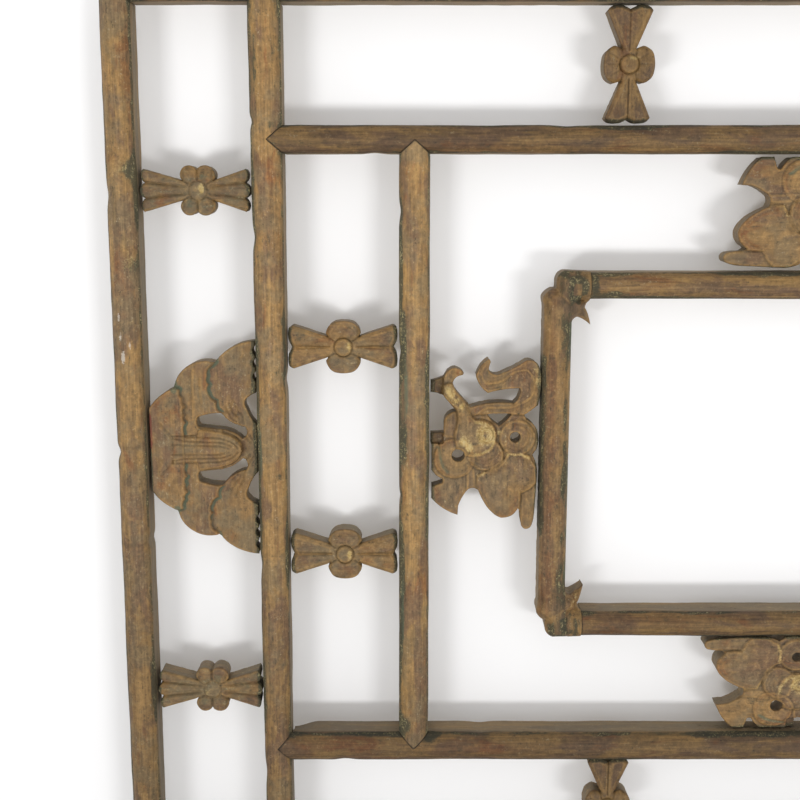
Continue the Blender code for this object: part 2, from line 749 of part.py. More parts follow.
def butterfly_layers():
    """Closed loops with their rise over the wings, the plainest first."""
    head_p, head_q, head_radius = BUTTERFLY_HEAD
    spirals = [(disc(p, q, radius, 11), 1.2) for p, q, radius, hole in BUTTERFLY_SPIRALS]
    wing = closed_path([
        (-4.6, -30.0, 0.0),
        (-1.4, -18.4, 0.0),
        (12.4, -5.4, 0.0),
        (27.0, -7.4, -0.1),
        (22.4, -30.0, 0.0),
        (21.0, -50.0, 0.0),
        (-4.6, -50.0, 0.0),
    ][::-1])
    ribbon = closed_path([
        (-10.0, 18.8, 0.0),
        (23.0, 19.6, 0.0),
        (40.0, 24.0, 0.0),
        (40.0, 60.0, 0.0),
        (-9.0, 60.0, 0.0),
        (-9.0, 30.0, 0.0),
    ])
    feeler = closed_path([
        (-12.6, -1.0, 0.0),
        (0.0, 6.0, 0.0),
        (-8.6, 21.0, 0.0),
        (-19.0, 34.0, 0.45),
        (-24.6, 30.4, 0.05),
        (-15.6, 17.0, 0.1),
    ])
    collar = closed_path([
        (-9.0, -8.0, 0.12),
        (-2.0, -16.8, 0.2),
        (10.4, -10.2, 0.15),
        (11.8, -2.6, 0.0),
        (0.0, 4.0, 0.0),
    ])
    return spirals + [
        (wing, 0.9),
        (collar, 2.0),
        (disc(head_p, head_q, head_radius, 12), 2.8),
        (ribbon, 1.1),
        (feeler, 2.0),
        (disc(head_p, head_q, head_radius * 0.4, 7), 3.6),
    ]


BUTTERFLY_PLAIN_LAYERS = 5


def make_butterfly(label, place, layers):
    """One butterfly, carved as far as its layers go."""
    def height(p, q):
        return WING_FACE + max(raised(loop, p, q, rise) for loop, rise in layers)

    lines = []
    for loop, rise in layers:
        outer = grown(loop, STEP_WIDTH)
        lines += [loop + loop[:1], outer + outer[:1]]
    name = "butterfly_" + label
    carve(name, "butterfly", butterfly_outline(), butterfly_holes(), lines, [], height, place)


def make_butterflies():
    """Four butterflies between the second frame and the inner frame; those above and below are plainer."""
    middle_x = (THIRD_X - THIRD_WIDTH / 2 + INNER_X + INNER_WIDTH / 2) / 2
    top_z = (SECOND_TOP_Z - SECOND_TOP_WIDTH / 2 + INNER_TOP_Z + INNER_WIDTH / 2) / 2
    bottom_gap = (INNER_BOTTOM_Z - INNER_WIDTH / 2) - (SECOND_BOTTOM_Z + SECOND_BOTTOM_WIDTH / 2)
    bottom_z = INNER_BOTTOM_Z - INNER_WIDTH / 2 - bottom_gap / 2
    squeeze = (bottom_gap / 2 - GAP) / BUTTERFLY_HALF
    layers = butterfly_layers()
    plain = layers[:BUTTERFLY_PLAIN_LAYERS]
    make_butterfly("left", placer(-middle_x, BUTTERFLY_Z, (1, 0), (0, 1)), layers)
    make_butterfly("right", placer(middle_x, BUTTERFLY_Z, (-1, 0), (0, 1)), layers)
    make_butterfly("top", placer(0.0, top_z, (0, -1), (1, 0)), plain)
    make_butterfly("bottom", placer(0.0, bottom_z, (0, 1), (1, 0), squeeze), plain)


# Inner frame stiles: p across from the stile's centre line towards the opening, q up from its middle

CREASE_START = 1.4
CREASE_HALF = 0.6
CREASE_DEPTH = 1.2
CREASE_TOP = 10.0
CREASE_LENGTH = 8.0
CORNER_ROOT = 8.0
CORNER_GRID = 3.2
CORNER_RIM = 0.8
STILE_LINES = (-0.72, -0.38, 0.0, 0.38, 0.72)


def make_inner_stiles():
    """The sides of the inner frame, each with a lobed corner and a leaf point at both ends."""
    half_width = INNER_WIDTH / 2
    middle_z = (INNER_TOP_Z + INNER_BOTTOM_Z) / 2
    rail = (INNER_TOP_Z - INNER_BOTTOM_Z) / 2
    joint = INNER_X - CORNER_JOINT_X
    top = rail + half_width
    root = rail - half_width - CORNER_ROOT
    half = [
        (half_width, 0.0, 0.0),
        (half_width, rail - half_width - 13.8, -0.35),
        (half_width + 3.4, rail - half_width - 10.2, -0.1),
        (joint, rail - half_width - 13.4, 0.15),
        (joint - 2.8, rail - half_width - 4.6, -0.2),
        (joint, rail - half_width, 0.0),
        (joint, top, 0.0),
        (3.8, top + 0.6, 0.3),
        (-1.2, top - 5.2, 0.0),
        (-1.4, top - 10.0, 0.0),
        (-3.2, top - 10.2, 0.22),
        (-half_width - 0.6, top - 15.4, 0.15),
        (-half_width, top - 20.0, 0.0),
        (-half_width, 0.0, 0.0),
    ]
    outline = mirrored_path(half)

    def height(p, q):
        inward = min(half_width, max(0.0, edge_distance(outline, p, q)))
        crease = abs(p + CREASE_START + abs(q) - top + CREASE_TOP) / math.sqrt(2)
        cut = CREASE_DEPTH if crease < CREASE_HALF and abs(q) > root else 0.0
        return crown_height(half_width - inward, half_width) - cut

    lines = [[(across * half_width, -root), (across * half_width, root)] for across in STILE_LINES]
    points = []
    for way in (-1, 1):
        crease_p, crease_q = CREASE_HALF * 2 - CREASE_START, top - CREASE_TOP - CREASE_HALF * 2
        crease_end = (crease_p + CREASE_LENGTH, way * (crease_q - CREASE_LENGTH))
        lines.append([(crease_p, way * crease_q), crease_end])
        for p in np.arange(CORNER_GRID * 0.6 - half_width, joint, CORNER_GRID):
            for q in np.arange(root, top, CORNER_GRID):
                if edge_distance(outline, p, way * q) > CORNER_RIM:
                    points.append((p, way * q))
    for side, label in ((-1, "left"), (1, "right")):
        place = placer(side * INNER_X, middle_z, (-side, 0), (0, 1))
        carve("stile_inner_" + label, "strip", outline, [], lines, points, height, place, 0.0)


for leftover in list(bpy.data.objects):
    bpy.data.objects.remove(leftover)

make_outer_frame()
make_second_frame()
make_third_stiles()
make_inner_rails()
make_inner_stiles()
make_bows()
make_bats()
make_butterflies()
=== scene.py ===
# %% [markdown]
# # A carved lattice panel
#
# The object is an old wooden lattice: nested rectangles of round-faced strips, with flower bows,
# bats and butterflies let in between them. It stands in the XZ plane, its back is y = 0 and its
# face looks along -Y. The solids of the frame already hold every piece at its real size, with its
# joints. Here each piece gets the surface that a hand plane, a gouge and long use leave on it.

# %% Load the frame
import math

import bpy
import numpy as np
from mathutils import Matrix, Vector
from mathutils.geometry import delaunay_2d_cdt


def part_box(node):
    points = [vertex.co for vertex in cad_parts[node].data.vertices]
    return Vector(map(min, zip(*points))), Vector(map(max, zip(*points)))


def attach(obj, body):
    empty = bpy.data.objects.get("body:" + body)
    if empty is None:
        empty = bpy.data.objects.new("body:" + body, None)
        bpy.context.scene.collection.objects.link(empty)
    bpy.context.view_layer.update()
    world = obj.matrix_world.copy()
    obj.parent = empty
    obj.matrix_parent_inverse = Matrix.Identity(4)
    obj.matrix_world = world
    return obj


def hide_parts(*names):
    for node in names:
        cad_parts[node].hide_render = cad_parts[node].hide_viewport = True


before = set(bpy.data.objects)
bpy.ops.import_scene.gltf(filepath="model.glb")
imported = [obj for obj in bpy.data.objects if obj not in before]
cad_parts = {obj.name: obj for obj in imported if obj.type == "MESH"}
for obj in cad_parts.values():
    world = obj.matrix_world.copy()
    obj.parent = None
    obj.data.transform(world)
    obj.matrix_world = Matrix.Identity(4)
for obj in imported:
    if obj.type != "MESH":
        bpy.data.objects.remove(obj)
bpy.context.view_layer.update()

MM = 0.001

# %% [markdown]
# ## Where the pieces touch
#
# Where one piece of wood meets another, the wood is painted darker: partly dirt that no duster
# reaches, partly painted shade between the parts. The boxes of the solids say where that is: two
# boxes that overlap or nearly meet share a contact. Every piece later asks how far each of its points
# is from the nearest contact.

# %% Boxes, in millimetres
boxes = {}
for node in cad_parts:
    low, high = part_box(node)
    boxes[node] = (np.array(low) / MM, np.array(high) / MM)


def is_strip(node):
    return node.startswith(("stile", "rail"))


print(len(boxes), "solids,", sum(is_strip(node) for node in boxes), "of them strips")

# %% Contacts and joints
# Boxes this near each other touch, and a tongue ends this deep inside the strip that holds it
REACH = 0.8
NOTCH_MARGIN = 3.0
PANEL_MIDDLE_Z = -276.4
FAR = 1e3


def contact_boxes(node):
    """The spaces shared with neighbours, as (lowest, highest) corners; joints of strips are left out."""
    found = []
    for other, (other_low, other_high) in boxes.items():
        low = np.maximum(boxes[node][0], other_low)
        high = np.minimum(boxes[node][1], other_high)
        joined = is_strip(node) and is_strip(other)
        if other != node and not joined and (high - low > -REACH).all():
            found.append((np.minimum(low, high), np.maximum(low, high)))
    return found


def joint_line(node, other):
    """The line, as (x, z) points, along which two strips are joined, or None when they don't meet."""
    rectangles = {name: (boxes[name][0][[0, 2]], boxes[name][1][[0, 2]]) for name in (node, other)}
    low = np.maximum(rectangles[node][0], rectangles[other][0])
    high = np.minimum(rectangles[node][1], rectangles[other][1])
    if node[:4] == other[:4] or (high - low < -REACH).any():
        return None
    # A V-joint, where the end of one strip, the tongue, lies inside the other
    for tongue, notched in ((node, other), (other, node)):
        axis = 1 if tongue.startswith("stile") else 0
        across = 1 - axis
        sides = [corner[across] for corner in rectangles[tongue]]
        faces = [corner[axis] for corner in rectangles[notched]]
        for end, face in zip((rectangles[tongue][1][axis], rectangles[tongue][0][axis]), faces):
            if faces[0] + NOTCH_MARGIN < end < faces[1] - NOTCH_MARGIN:
                points = [(face, sides[0]), (end, sum(sides) / 2), (face, sides[1])]
                return [point[::-1] for point in points] if axis else points
    # A mitre, from the outer to the inner corner of the frame
    falls = (low[0] < 0) == (low[1] > PANEL_MIDDLE_Z)
    return [(low[0], high[1]), (high[0], low[1])] if falls else [tuple(low), tuple(high)]


def contact_distance(node, places):
    """Distance in the panel's plane from each place (x, y, z) to the nearest contact of a piece."""
    nearest = np.full(len(places), FAR)
    for low, high in contact_boxes(node):
        outside = np.maximum(np.maximum(low - places, places - high), 0)
        nearest = np.minimum(nearest, np.hypot(outside[:, 0], outside[:, 2]))
    return nearest


print("contacts:", {node: len(contact_boxes(node)) for node in sorted(boxes)})

# %% [markdown]
# ## Small tools for drawing on wood
#
# An ornament starts as an outline: corners joined by straight lines or by arcs. A corner is written
# (p, q, bulge), where the bulge is the tangent of a quarter of the arc's angle. Blender has no
# ready-made tool that carves along such a line, so a few short functions on numpy arrays measure
# how far each point of a face is from a line or from a loop. They are exact and quick.

# %% Corners, arcs and loops
OUTLINE_STEP = 0.7


def arc_points(start, end, bulge, step):
    """Points from start up to, but not with, end; a positive bulge swells to the right of travel."""
    start = np.array(start, float)
    chord = np.array(end, float) - start
    length = math.hypot(*chord)
    if bulge == 0:
        count = max(1, round(length / step))
        return [tuple(start + chord * k / count) for k in range(count)]
    along = chord / length
    across = np.array((along[1], -along[0])) * math.copysign(1, bulge)
    turn = 4 * math.atan(abs(bulge))
    radius = length / 2 / math.sin(turn / 2)
    count = max(2, round(radius * turn / step))
    points = []
    for k in range(count):
        angle = (k / count - 0.5) * turn
        rise = radius * (math.cos(angle) - math.cos(turn / 2))
        points.append(tuple(start + chord / 2 + along * radius * math.sin(angle) + across * rise))
    return points


def open_path(corners, step=OUTLINE_STEP):
    """A line through (p, q, bulge) corners."""
    line = []
    for corner, following in zip(corners, corners[1:]):
        line += arc_points(corner[:2], following[:2], corner[2], step)
    return line + [tuple(corners[-1][:2])]


def closed_path(corners, step=OUTLINE_STEP):
    """A loop through (p, q, bulge) corners."""
    return open_path(corners + [corners[0]], step)[:-1]


def mirrored_path(half, step=OUTLINE_STEP):
    """A loop from its half with q >= 0, run from the +p end to the -p end of the axis."""
    back = []
    for corner, following in zip(reversed(half[:-1]), reversed(half[1:])):
        back.append((following[0], -following[1], corner[2]))
    return closed_path(half[:-1] + back, step)


def mirror(line):
    """The same line on the other side of the axis."""
    return [(p, -q) for p, q in line]


print("a half circle of radius 5 in", len(arc_points((0, 0), (10, 0), 1, OUTLINE_STEP)), "steps")

# %% Circles and lines beside a line
ARC_DEGREES = 4.0


def circle(p, q, radius, step=OUTLINE_STEP):
    """A round loop."""
    count = max(8, round(2 * math.pi * radius / step))
    turns = [2 * math.pi * k / count for k in range(count)]
    return [(p + radius * math.cos(turn), q + radius * math.sin(turn)) for turn in turns]


def arc_about(p, q, radius, start, end):
    """Part of a circle, between two directions in degrees."""
    turns = np.radians(np.arange(start, end, ARC_DEGREES))
    return [(p + radius * math.cos(turn), q + radius * math.sin(turn)) for turn in turns]


def parallel(line, distance):
    """A line that runs beside another."""
    points = np.array(line)
    way = np.gradient(points, axis=0)
    way /= np.maximum(np.linalg.norm(way, axis=1, keepdims=True), 1e-9)
    moved = points + np.stack((way[:, 1], -way[:, 0]), 1) * distance
    return [tuple(point) for point in moved]


print("a circle of radius 5 in", len(circle(0, 0, 5)), "steps")

# %% Distances, soft steps and waves
def inside(loop, p, q):
    """Which points lie within a loop."""
    result = np.zeros(len(p), bool)
    for (p0, q0), (p1, q1) in zip(loop, loop[1:] + loop[:1]):
        if q0 != q1:
            result ^= ((q0 > q) != (q1 > q)) & (p < p0 + (q - q0) * (p1 - p0) / (q1 - q0))
    return result


def line_distance(line, p, q):
    """Distance from each point to a line."""
    nearest = np.full(len(p), FAR ** 2)
    for (p0, q0), (p1, q1) in zip(line, line[1:]):
        dp, dq = p1 - p0, q1 - q0
        share = np.clip(((p - p0) * dp + (q - q0) * dq) / max(dp * dp + dq * dq, 1e-12), 0, 1)
        nearest = np.minimum(nearest, (p - p0 - share * dp) ** 2 + (q - q0 - share * dq) ** 2)
    return np.sqrt(nearest)


def loop_depth(loop, p, q, margin=6.0):
    """How deep each point lies within a loop; negative outside, and -margin where it is far off."""
    corners = np.array(loop)
    low, high = corners.min(0) - margin, corners.max(0) + margin
    close = (p > low[0]) & (p < high[0]) & (q > low[1]) & (q < high[1])
    depth = np.full(len(p), -margin)
    distance = line_distance(loop + loop[:1], p[close], q[close])
    depth[close] = np.where(inside(loop, p[close], q[close]), distance, -distance)
    return depth


def smooth(low, high, value):
    """A soft step from 0 at low to 1 at high."""
    share = np.clip((value - low) / (high - low), 0, 1)
    return share * share * (3 - 2 * share)


def bell(distance, middle, width):
    """One at a chosen distance, falling softly to nothing on both sides of it."""
    return np.exp(-((distance - middle) / width) ** 2)


def ripple(u, v, seed):
    """Smooth irregular waves between -1 and 1, about one to each unit of u and v."""
    i, j = np.floor(u), np.floor(v)
    f, g = u - i, v - j
    f, g = f * f * (3 - 2 * f), g * g * (3 - 2 * g)

    def corner(a, b):
        # The fraction of a large sine is a number that looks random, yet is the same in every run
        value = np.sin(a * 127.1 + b * 311.7 + seed * 74.7) * 43758.5453
        return (value - np.floor(value)) * 2 - 1

    low = corner(i, j) * (1 - f) + corner(i + 1, j) * f
    high = corner(i, j + 1) * (1 - f) + corner(i + 1, j + 1) * f
    return low * (1 - g) + high * g


middle_depth = loop_depth(circle(0, 0, 5), np.zeros(1), np.zeros(1))[0]
print("the middle of a circle of radius 5 is", round(float(middle_depth), 2), "deep")

# %% [markdown]
# ## Sums with sockets
#
# Materials and Geometry Nodes are both trees of nodes, and most of their nodes are arithmetic. One
# small class wraps a socket, so that `0.3 + 0.7 * mask` adds the Math nodes by itself. A second class
# adds any other node in one call: its type, its settings, then the values or links of its sockets.

# %% Sockets that can be added and multiplied
class Value:
    """One output socket of a node tree."""

    def __init__(self, tree, socket):
        self.tree = tree
        self.socket = socket

    def math(self, operation, first, second=0.0):
        return self.tree.node("ShaderNodeMath", {"operation": operation}, {0: first, 1: second})

    def __add__(self, other):
        return self.math("ADD", self, other)

    def __radd__(self, other):
        return self.math("ADD", other, self)

    def __sub__(self, other):
        return self.math("SUBTRACT", self, other)

    def __rsub__(self, other):
        return self.math("SUBTRACT", other, self)

    def __mul__(self, other):
        return self.math("MULTIPLY", self, other)

    def __rmul__(self, other):
        return self.math("MULTIPLY", other, self)

    def __truediv__(self, other):
        return self.math("DIVIDE", self, other)

    def __rtruediv__(self, other):
        return self.math("DIVIDE", other, self)

    def between(self, low, high):
        """A soft step from 0 at low to 1 at high."""
        settings = {"interpolation_type": "SMOOTHSTEP"}
        sockets = {"Value": self, "From Min": low, "From Max": high}
        return self.tree.node("ShaderNodeMapRange", settings, sockets)


print("sockets understand + - * and /, on either side of a number")

# %% A tree of nodes
class Tree:
    """A node tree that is filled from the script."""

    def __init__(self, tree):
        self.tree = tree

    def node(self, kind, settings=None, sockets=None, output=0):
        """Add a node: its settings, then its sockets by name or number; gives one of its outputs."""
        made = self.tree.nodes.new(kind)
        for key, value in (settings or {}).items():
            setattr(made, key, value)
        for key, part in (sockets or {}).items():
            if isinstance(part, Value):
                self.tree.links.new(part.socket, made.inputs[key])
            else:
                made.inputs[key].default_value = part
        return Value(self, made.outputs[output])


print("a node is one line: its type, its settings, its sockets")

# %% [markdown]
# ## The strips
#
# Every strip is planed to one section: a flat back, straight sides and a rounded face. A main piece
# that follows a rule like this is work for Geometry Nodes: the section is swept along a line, and
# noise along it gives the waver of a hand plane. The noise only takes wood away, so the strip stays
# within its solid. The tree has named inputs, so one tree makes all twelve strips.

# %% The section
SIDE_DEPTH = 16.5
CROWN_RISE = 6.0
SECTION_POINTS = 36
# How the points are shared out over the crown, one side, the back and the other side
SECTION_SHARES = (0.46, 0.2, 0.14, 0.2)


def section_place(tree, index, half, side, rise):
    """Where a numbered point of the section lies: over the crown, down, along the back and up."""
    turn = index / float(SECTION_POINTS)
    parts = []
    start = 0.0
    for share in SECTION_SHARES:
        parts.append(tree.node("ShaderNodeMapRange", None, {0: turn, 1: start, 2: start + share}))
        start += share
    crown, down, back, up = parts
    radius = (half * half + rise * rise) / (2.0 * rise)
    opening = (half / radius).math("ARCSINE", half / radius)
    angle = (2.0 * crown - 1.0) * opening
    across = radius * angle.math("SINE", angle) - 2.0 * half * back
    height = side + radius * angle.math("COSINE", angle) - (radius - rise) - side * down + side * up
    return tree.node("ShaderNodeCombineXYZ", None, {0: across, 1: height * -1.0})


print("section shares add up to", sum(SECTION_SHARES))

# %% The tree of a strip
STRIP_INPUTS = ("Start", "End", "First Width", "Last Width", "Side Depth", "Crown Rise", "Waver", "Seed")
ROW_SPACING = 2.0
# The waves of the plane: scale of the noise, its stretch along the strip, its share of the waver
PLANE_WAVES = ((55.0, 0.35, 0.6), (150.0, 0.25, 0.27), (420.0, 0.3, 0.13))


def strip_tree(material):
    """Geometry Nodes for a round-faced strip that runs up the Z axis."""
    group = bpy.data.node_groups.new("Round-faced strip", "GeometryNodeTree")
    for name in STRIP_INPUTS:
        group.interface.new_socket(name=name, in_out="INPUT", socket_type="NodeSocketFloat")
    group.interface.new_socket(name="Geometry", in_out="OUTPUT", socket_type="NodeSocketGeometry")
    tree = Tree(group)
    inputs = group.nodes.new("NodeGroupInput").outputs
    given = {socket.name: Value(tree, socket) for socket in inputs if socket.name}
    half = given["First Width"] / 2.0

    ends = [tree.node("ShaderNodeCombineXYZ", None, {2: given[name]}) for name in ("Start", "End")]
    line = tree.node("GeometryNodeCurvePrimitiveLine", None, {"Start": ends[0], "End": ends[1]})
    spaced = {"Curve": line, "Length": ROW_SPACING * MM}
    rows = tree.node("GeometryNodeResampleCurve", {"mode": "LENGTH"}, spaced)
    ring = tree.node("GeometryNodeCurvePrimitiveCircle", None, {"Resolution": SECTION_POINTS})
    index = tree.node("GeometryNodeInputIndex")
    place = section_place(tree, index, half, given["Side Depth"], given["Crown Rise"])
    section = tree.node("GeometryNodeSetPosition", None, {"Geometry": ring, "Position": place})
    swept = tree.node("GeometryNodeCurveToMesh", None, {0: rows, 1: section, "Fill Caps": True})

    position = tree.node("GeometryNodeInputPosition")
    x, y, z = (tree.node("ShaderNodeSeparateXYZ", None, {0: position}, axis) for axis in range(3))
    share = (z - given["Start"]) / (given["End"] - given["Start"])
    width = given["First Width"] + share * (given["Last Width"] - given["First Width"])
    tapered = tree.node("ShaderNodeCombineXYZ", None, {0: x * width / given["First Width"], 1: y, 2: z})
    planed = tree.node("GeometryNodeSetPosition", None, {"Geometry": swept, "Position": tapered})

    taken = 0.0
    for scale, squeeze, weight in PLANE_WAVES:
        spot = tree.node("ShaderNodeCombineXYZ", None, {0: x, 1: y, 2: z * squeeze})
        sockets = {"Vector": spot, "W": given["Seed"], "Scale": scale}
        waves = tree.node("ShaderNodeTexNoise", {"noise_dimensions": "4D"}, sockets)
        taken = weight * waves.between(0.3, 0.75) + taken
    normal = tree.node("GeometryNodeInputNormal")
    amount = taken * given["Waver"] * -1.0
    offset = tree.node("ShaderNodeVectorMath", {"operation": "SCALE"}, {0: normal, "Scale": amount})
    wavered = tree.node("GeometryNodeSetPosition", None, {"Geometry": planed, "Offset": offset})
    whole = tree.node("GeometryNodeRealizeInstances", None, {0: wavered})
    finished = tree.node("GeometryNodeSetMaterial", None, {"Geometry": whole, "Material": material})
    output = group.nodes.new("NodeGroupOutput")
    group.links.new(finished.socket, output.inputs[0])
    return group


print("a strip has", len(STRIP_INPUTS), "inputs and", len(PLANE_WAVES), "waves")

# %% [markdown]
# ## From a swept strip to a joined one
#
# The carpenter's joints are V-shaped: the end of one strip is cut to a point in its rounded part and
# let into a notch in the next. The solid of each strip has these joints already. A Boolean
# intersection of the planed strip, made a little too long, with a copy of its solid cuts them all in
# one go. The copy is merged first, because a solid from the frame comes as loose triangles.

# %% Helpers that make plain meshes
def plain_object(name, mesh):
    """A mesh in the scene under its own name."""
    piece = bpy.data.objects.new(name, mesh)
    bpy.context.scene.collection.objects.link(piece)
    return piece


def settle(piece):
    """Turn what the modifiers make into the object's own plain mesh, and remove them."""
    graph = bpy.context.evaluated_depsgraph_get()
    made = bpy.data.meshes.new_from_object(piece.evaluated_get(graph))
    old = piece.data
    piece.modifiers.clear()
    piece.data = made
    bpy.data.meshes.remove(old)
    return made


def merged_copy(node):
    """A closed copy of a node's solid, to cut with."""
    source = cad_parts[node].data
    lookup, corners = {}, []
    for vertex in source.vertices:
        key = tuple(round(part, 7) for part in vertex.co)
        corners.append(lookup.setdefault(key, len(lookup)))
    faces = []
    for face in source.polygons:
        ring = list(dict.fromkeys(corners[k] for k in face.vertices))
        if len(ring) > 2:
            faces.append(ring)
    mesh = bpy.data.meshes.new(node + "_copy")
    mesh.from_pydata(list(lookup), [], faces)
    return plain_object(node + "_copy", mesh)


print("the solid of bat_left has", len(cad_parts["bat_left"].data.vertices), "loose corners")

# %% Numbers kept on the vertices
def coordinates(mesh):
    """The vertices of a mesh in millimetres, as an array."""
    flat = np.zeros(len(mesh.vertices) * 3)
    mesh.vertices.foreach_get("co", flat)
    return flat.reshape(-1, 3) / MM


# Darker rims, dirt and painted shade at contacts and cuts, dirt at joints, then wear and paint, then
# the sides, and last what makes one piece differ from the next: where it reads its noise, and how
# light it is
MASKS = (
    "rim", "near", "joint", "cut", "worn", "dark", "rust", "green", "gold", "red", "pale",
    "side", "shift", "tone",
)


def store(mesh, **values):
    """Keep numbers on the vertices, for the materials to read; what isn't given is 0."""
    for name in MASKS:
        data = np.broadcast_to(np.asarray(values.get(name, 0.0), float), (len(mesh.vertices),))
        mesh.attributes.new(name, "FLOAT", "POINT").data.foreach_set("value", data.copy())


print("kept on every piece:", ", ".join(MASKS))

# %% [markdown]
# ## Old wood
#
# All the wood here is the same softwood with the same history: a thin dark finish, worn through to
# honey brown where hands and cloths rub, gone grey-green in the corners and on the sides, with
# remains of green, red and gold paint. A picture of wood would repeat itself from strip to strip, so
# one recipe of noise makes it: long noise gives the fibres, broad noise the stains, fine noise the
# pores. Numbers kept on the vertices say where the wood is worn, cut or painted, and noise makes the
# borders of those places ragged. The dark in the cuts and round the contacts is partly dirt and
# partly painted shade.

# %% The palette
HONEY = (0.315, 0.184, 0.062)
BROWN = (0.200, 0.116, 0.045)
PLUM = (0.130, 0.075, 0.046)
RUST = (0.200, 0.082, 0.026)
OLIVE = (0.162, 0.120, 0.064)
# Dark dirt in cuts and joints, also used as painted shade in the grooves and at the feet of raised parts
DARK = (0.030, 0.022, 0.011)
# Soot, also used as painted shade round the contacts
SOOT_AND_SHADE_BLACK = (0.040, 0.046, 0.030)
SIDE_GREY = (0.175, 0.142, 0.092)
FLECK = (0.360, 0.300, 0.140)
DUST = (0.300, 0.255, 0.180)
GREEN_PAINT = (0.080, 0.105, 0.066)
RED_PAINT = (0.130, 0.024, 0.016)
PALE_NICK = (0.520, 0.470, 0.400)
GOLD_LEAF = (0.480, 0.320, 0.095)
PALE_GOLD = (0.560, 0.430, 0.200)

print("worn wood is", round(sum(HONEY) / sum(DARK), 1), "times as light as the dirt in the cuts")

# %% A finish and its noises
# Noise is this much longer along the fibres, in fine fibres and in broad stains
FIBRE_SQUEEZE = 0.05
STAIN_SQUEEZE = 0.3
# How far from each other two pieces read their noise, so that no two look alike
SHIFTS = (0.37, 0.71, 0.53)


class Finish(Tree):
    """The node tree of one finish."""

    def __init__(self, name):
        self.material = bpy.data.materials.new(name)
        self.material.use_nodes = True
        super().__init__(self.material.node_tree)
        self.shader = self.tree.nodes["Principled BSDF"]

    def feed(self, name, value):
        """Link a value to an input of the shader."""
        self.tree.links.new(value.socket, self.shader.inputs[name])

    def mask(self, name):
        """A number kept on the vertices."""
        return self.node("ShaderNodeAttribute", {"attribute_name": name}, None, "Fac")

    def noise(self, place, scale, detail=3.0, roughness=0.55, distortion=0.0):
        sockets = {"Vector": place, "Scale": scale, "Detail": detail}
        sockets.update({"Roughness": roughness, "Distortion": distortion})
        return self.node("ShaderNodeTexNoise", None, sockets)

    def squeezed(self, place, along, share):
        """The place with one axis squeezed, so that noise runs long on it."""
        scale = tuple(share if axis == along else 1.0 for axis in "xyz")
        return self.node("ShaderNodeVectorMath", {"operation": "MULTIPLY"}, {0: place, 1: scale})

    def moved(self, place, offset):
        return self.node("ShaderNodeVectorMath", {"operation": "ADD"}, {0: place, 1: offset})

    def scaled(self, colour, amount):
        """A colour made lighter or darker."""
        return self.node("ShaderNodeVectorMath", {"operation": "SCALE"}, {0: colour, "Scale": amount})

    def blend(self, amount, first, second):
        """From one colour to another."""
        parts = [part if isinstance(part, Value) else (*part, 1.0) for part in (first, second)]
        settings = {"data_type": "RGBA", "clamp_factor": True}
        return self.node("ShaderNodeMix", settings, {0: amount, 6: parts[0], 7: parts[1]}, 2)

    def grow(self, along):
        """The noises of a piece of wood whose fibres run along an axis of the panel, x or z."""
        coords = self.node("ShaderNodeTexCoord", None, None, "Object")
        shift = self.mask("shift")
        own = {axis: shift * step for axis, step in enumerate(SHIFTS)}
        place = self.moved(coords, self.node("ShaderNodeCombineXYZ", None, own))
        fibre_place = self.squeezed(place, along, FIBRE_SQUEEZE)
        cloud_place = self.squeezed(place, along, STAIN_SQUEEZE)
        self.fibres = self.noise(fibre_place, 800.0, 4.0, 0.6, 0.2)
        self.bands = self.noise(fibre_place, 190.0, 3.0, 0.5, 0.8)
        self.clouds = self.noise(cloud_place, 75.0, 4.0, 0.6, 0.5)
        self.stains = self.noise(self.moved(cloud_place, (3.1, 0.0, 1.7)), 95.0, 5.0, 0.65, 0.6)
        self.films = self.noise(self.moved(place, (0.0, 2.3, 5.1)), 50.0, 5.0, 0.65, 0.3)
        self.ragged = self.noise(cloud_place, 420.0, 4.0, 0.7, 0.3)
        self.grit = self.noise(place, 900.0, 3.0, 0.7)
        self.patches = self.noise(self.moved(place, (1.9, 0.0, 4.3)), 290.0, 4.0, 0.65, 0.4)


print("fibres are", round(1 / FIBRE_SQUEEZE), "times as long as they are wide")

# %% The colour of the wood and of its dirt
def bare_colour(wood, honey, film, streaks, mottle):
    """Brown with honey bands, plum and rust stains, a dull film, specks and fibres."""
    worn = (wood.mask("worn") * 0.9 + wood.films - 0.45).between(0.05, 0.7)
    gleam = (wood.bands * 0.8 + wood.clouds * 0.5 + worn * 0.4 - 0.35).between(0.12, 0.55) * honey
    colour = wood.blend(gleam, BROWN, HONEY)
    colour = wood.blend(wood.clouds.between(0.55, 0.43) * 0.66, colour, PLUM)
    rust = wood.stains.between(0.55, 0.67) * 0.75 + wood.mask("rust") * wood.ragged.between(0.3, 0.55)
    colour = wood.blend(rust, colour, RUST)
    colour = wood.blend(wood.films.between(0.42, 0.62) * film, colour, OLIVE)
    colour = wood.blend(worn * 0.5, colour, HONEY)
    colour = wood.blend(wood.patches.between(0.54, 0.68) * mottle * 0.9, colour, HONEY)
    specks = wood.patches * 0.4 + wood.ragged * 0.6
    colour = wood.blend(specks.between(0.46, 0.34) * mottle * 1.3, colour, SOOT_AND_SHADE_BLACK)
    tint = wood.fibres.between(0.3, 0.7) * streaks + wood.grit * 0.44
    tint = tint + wood.patches.between(0.34, 0.66) * mottle + (0.78 - streaks / 2 - mottle / 2)
    return wood.scaled(colour, tint), gleam


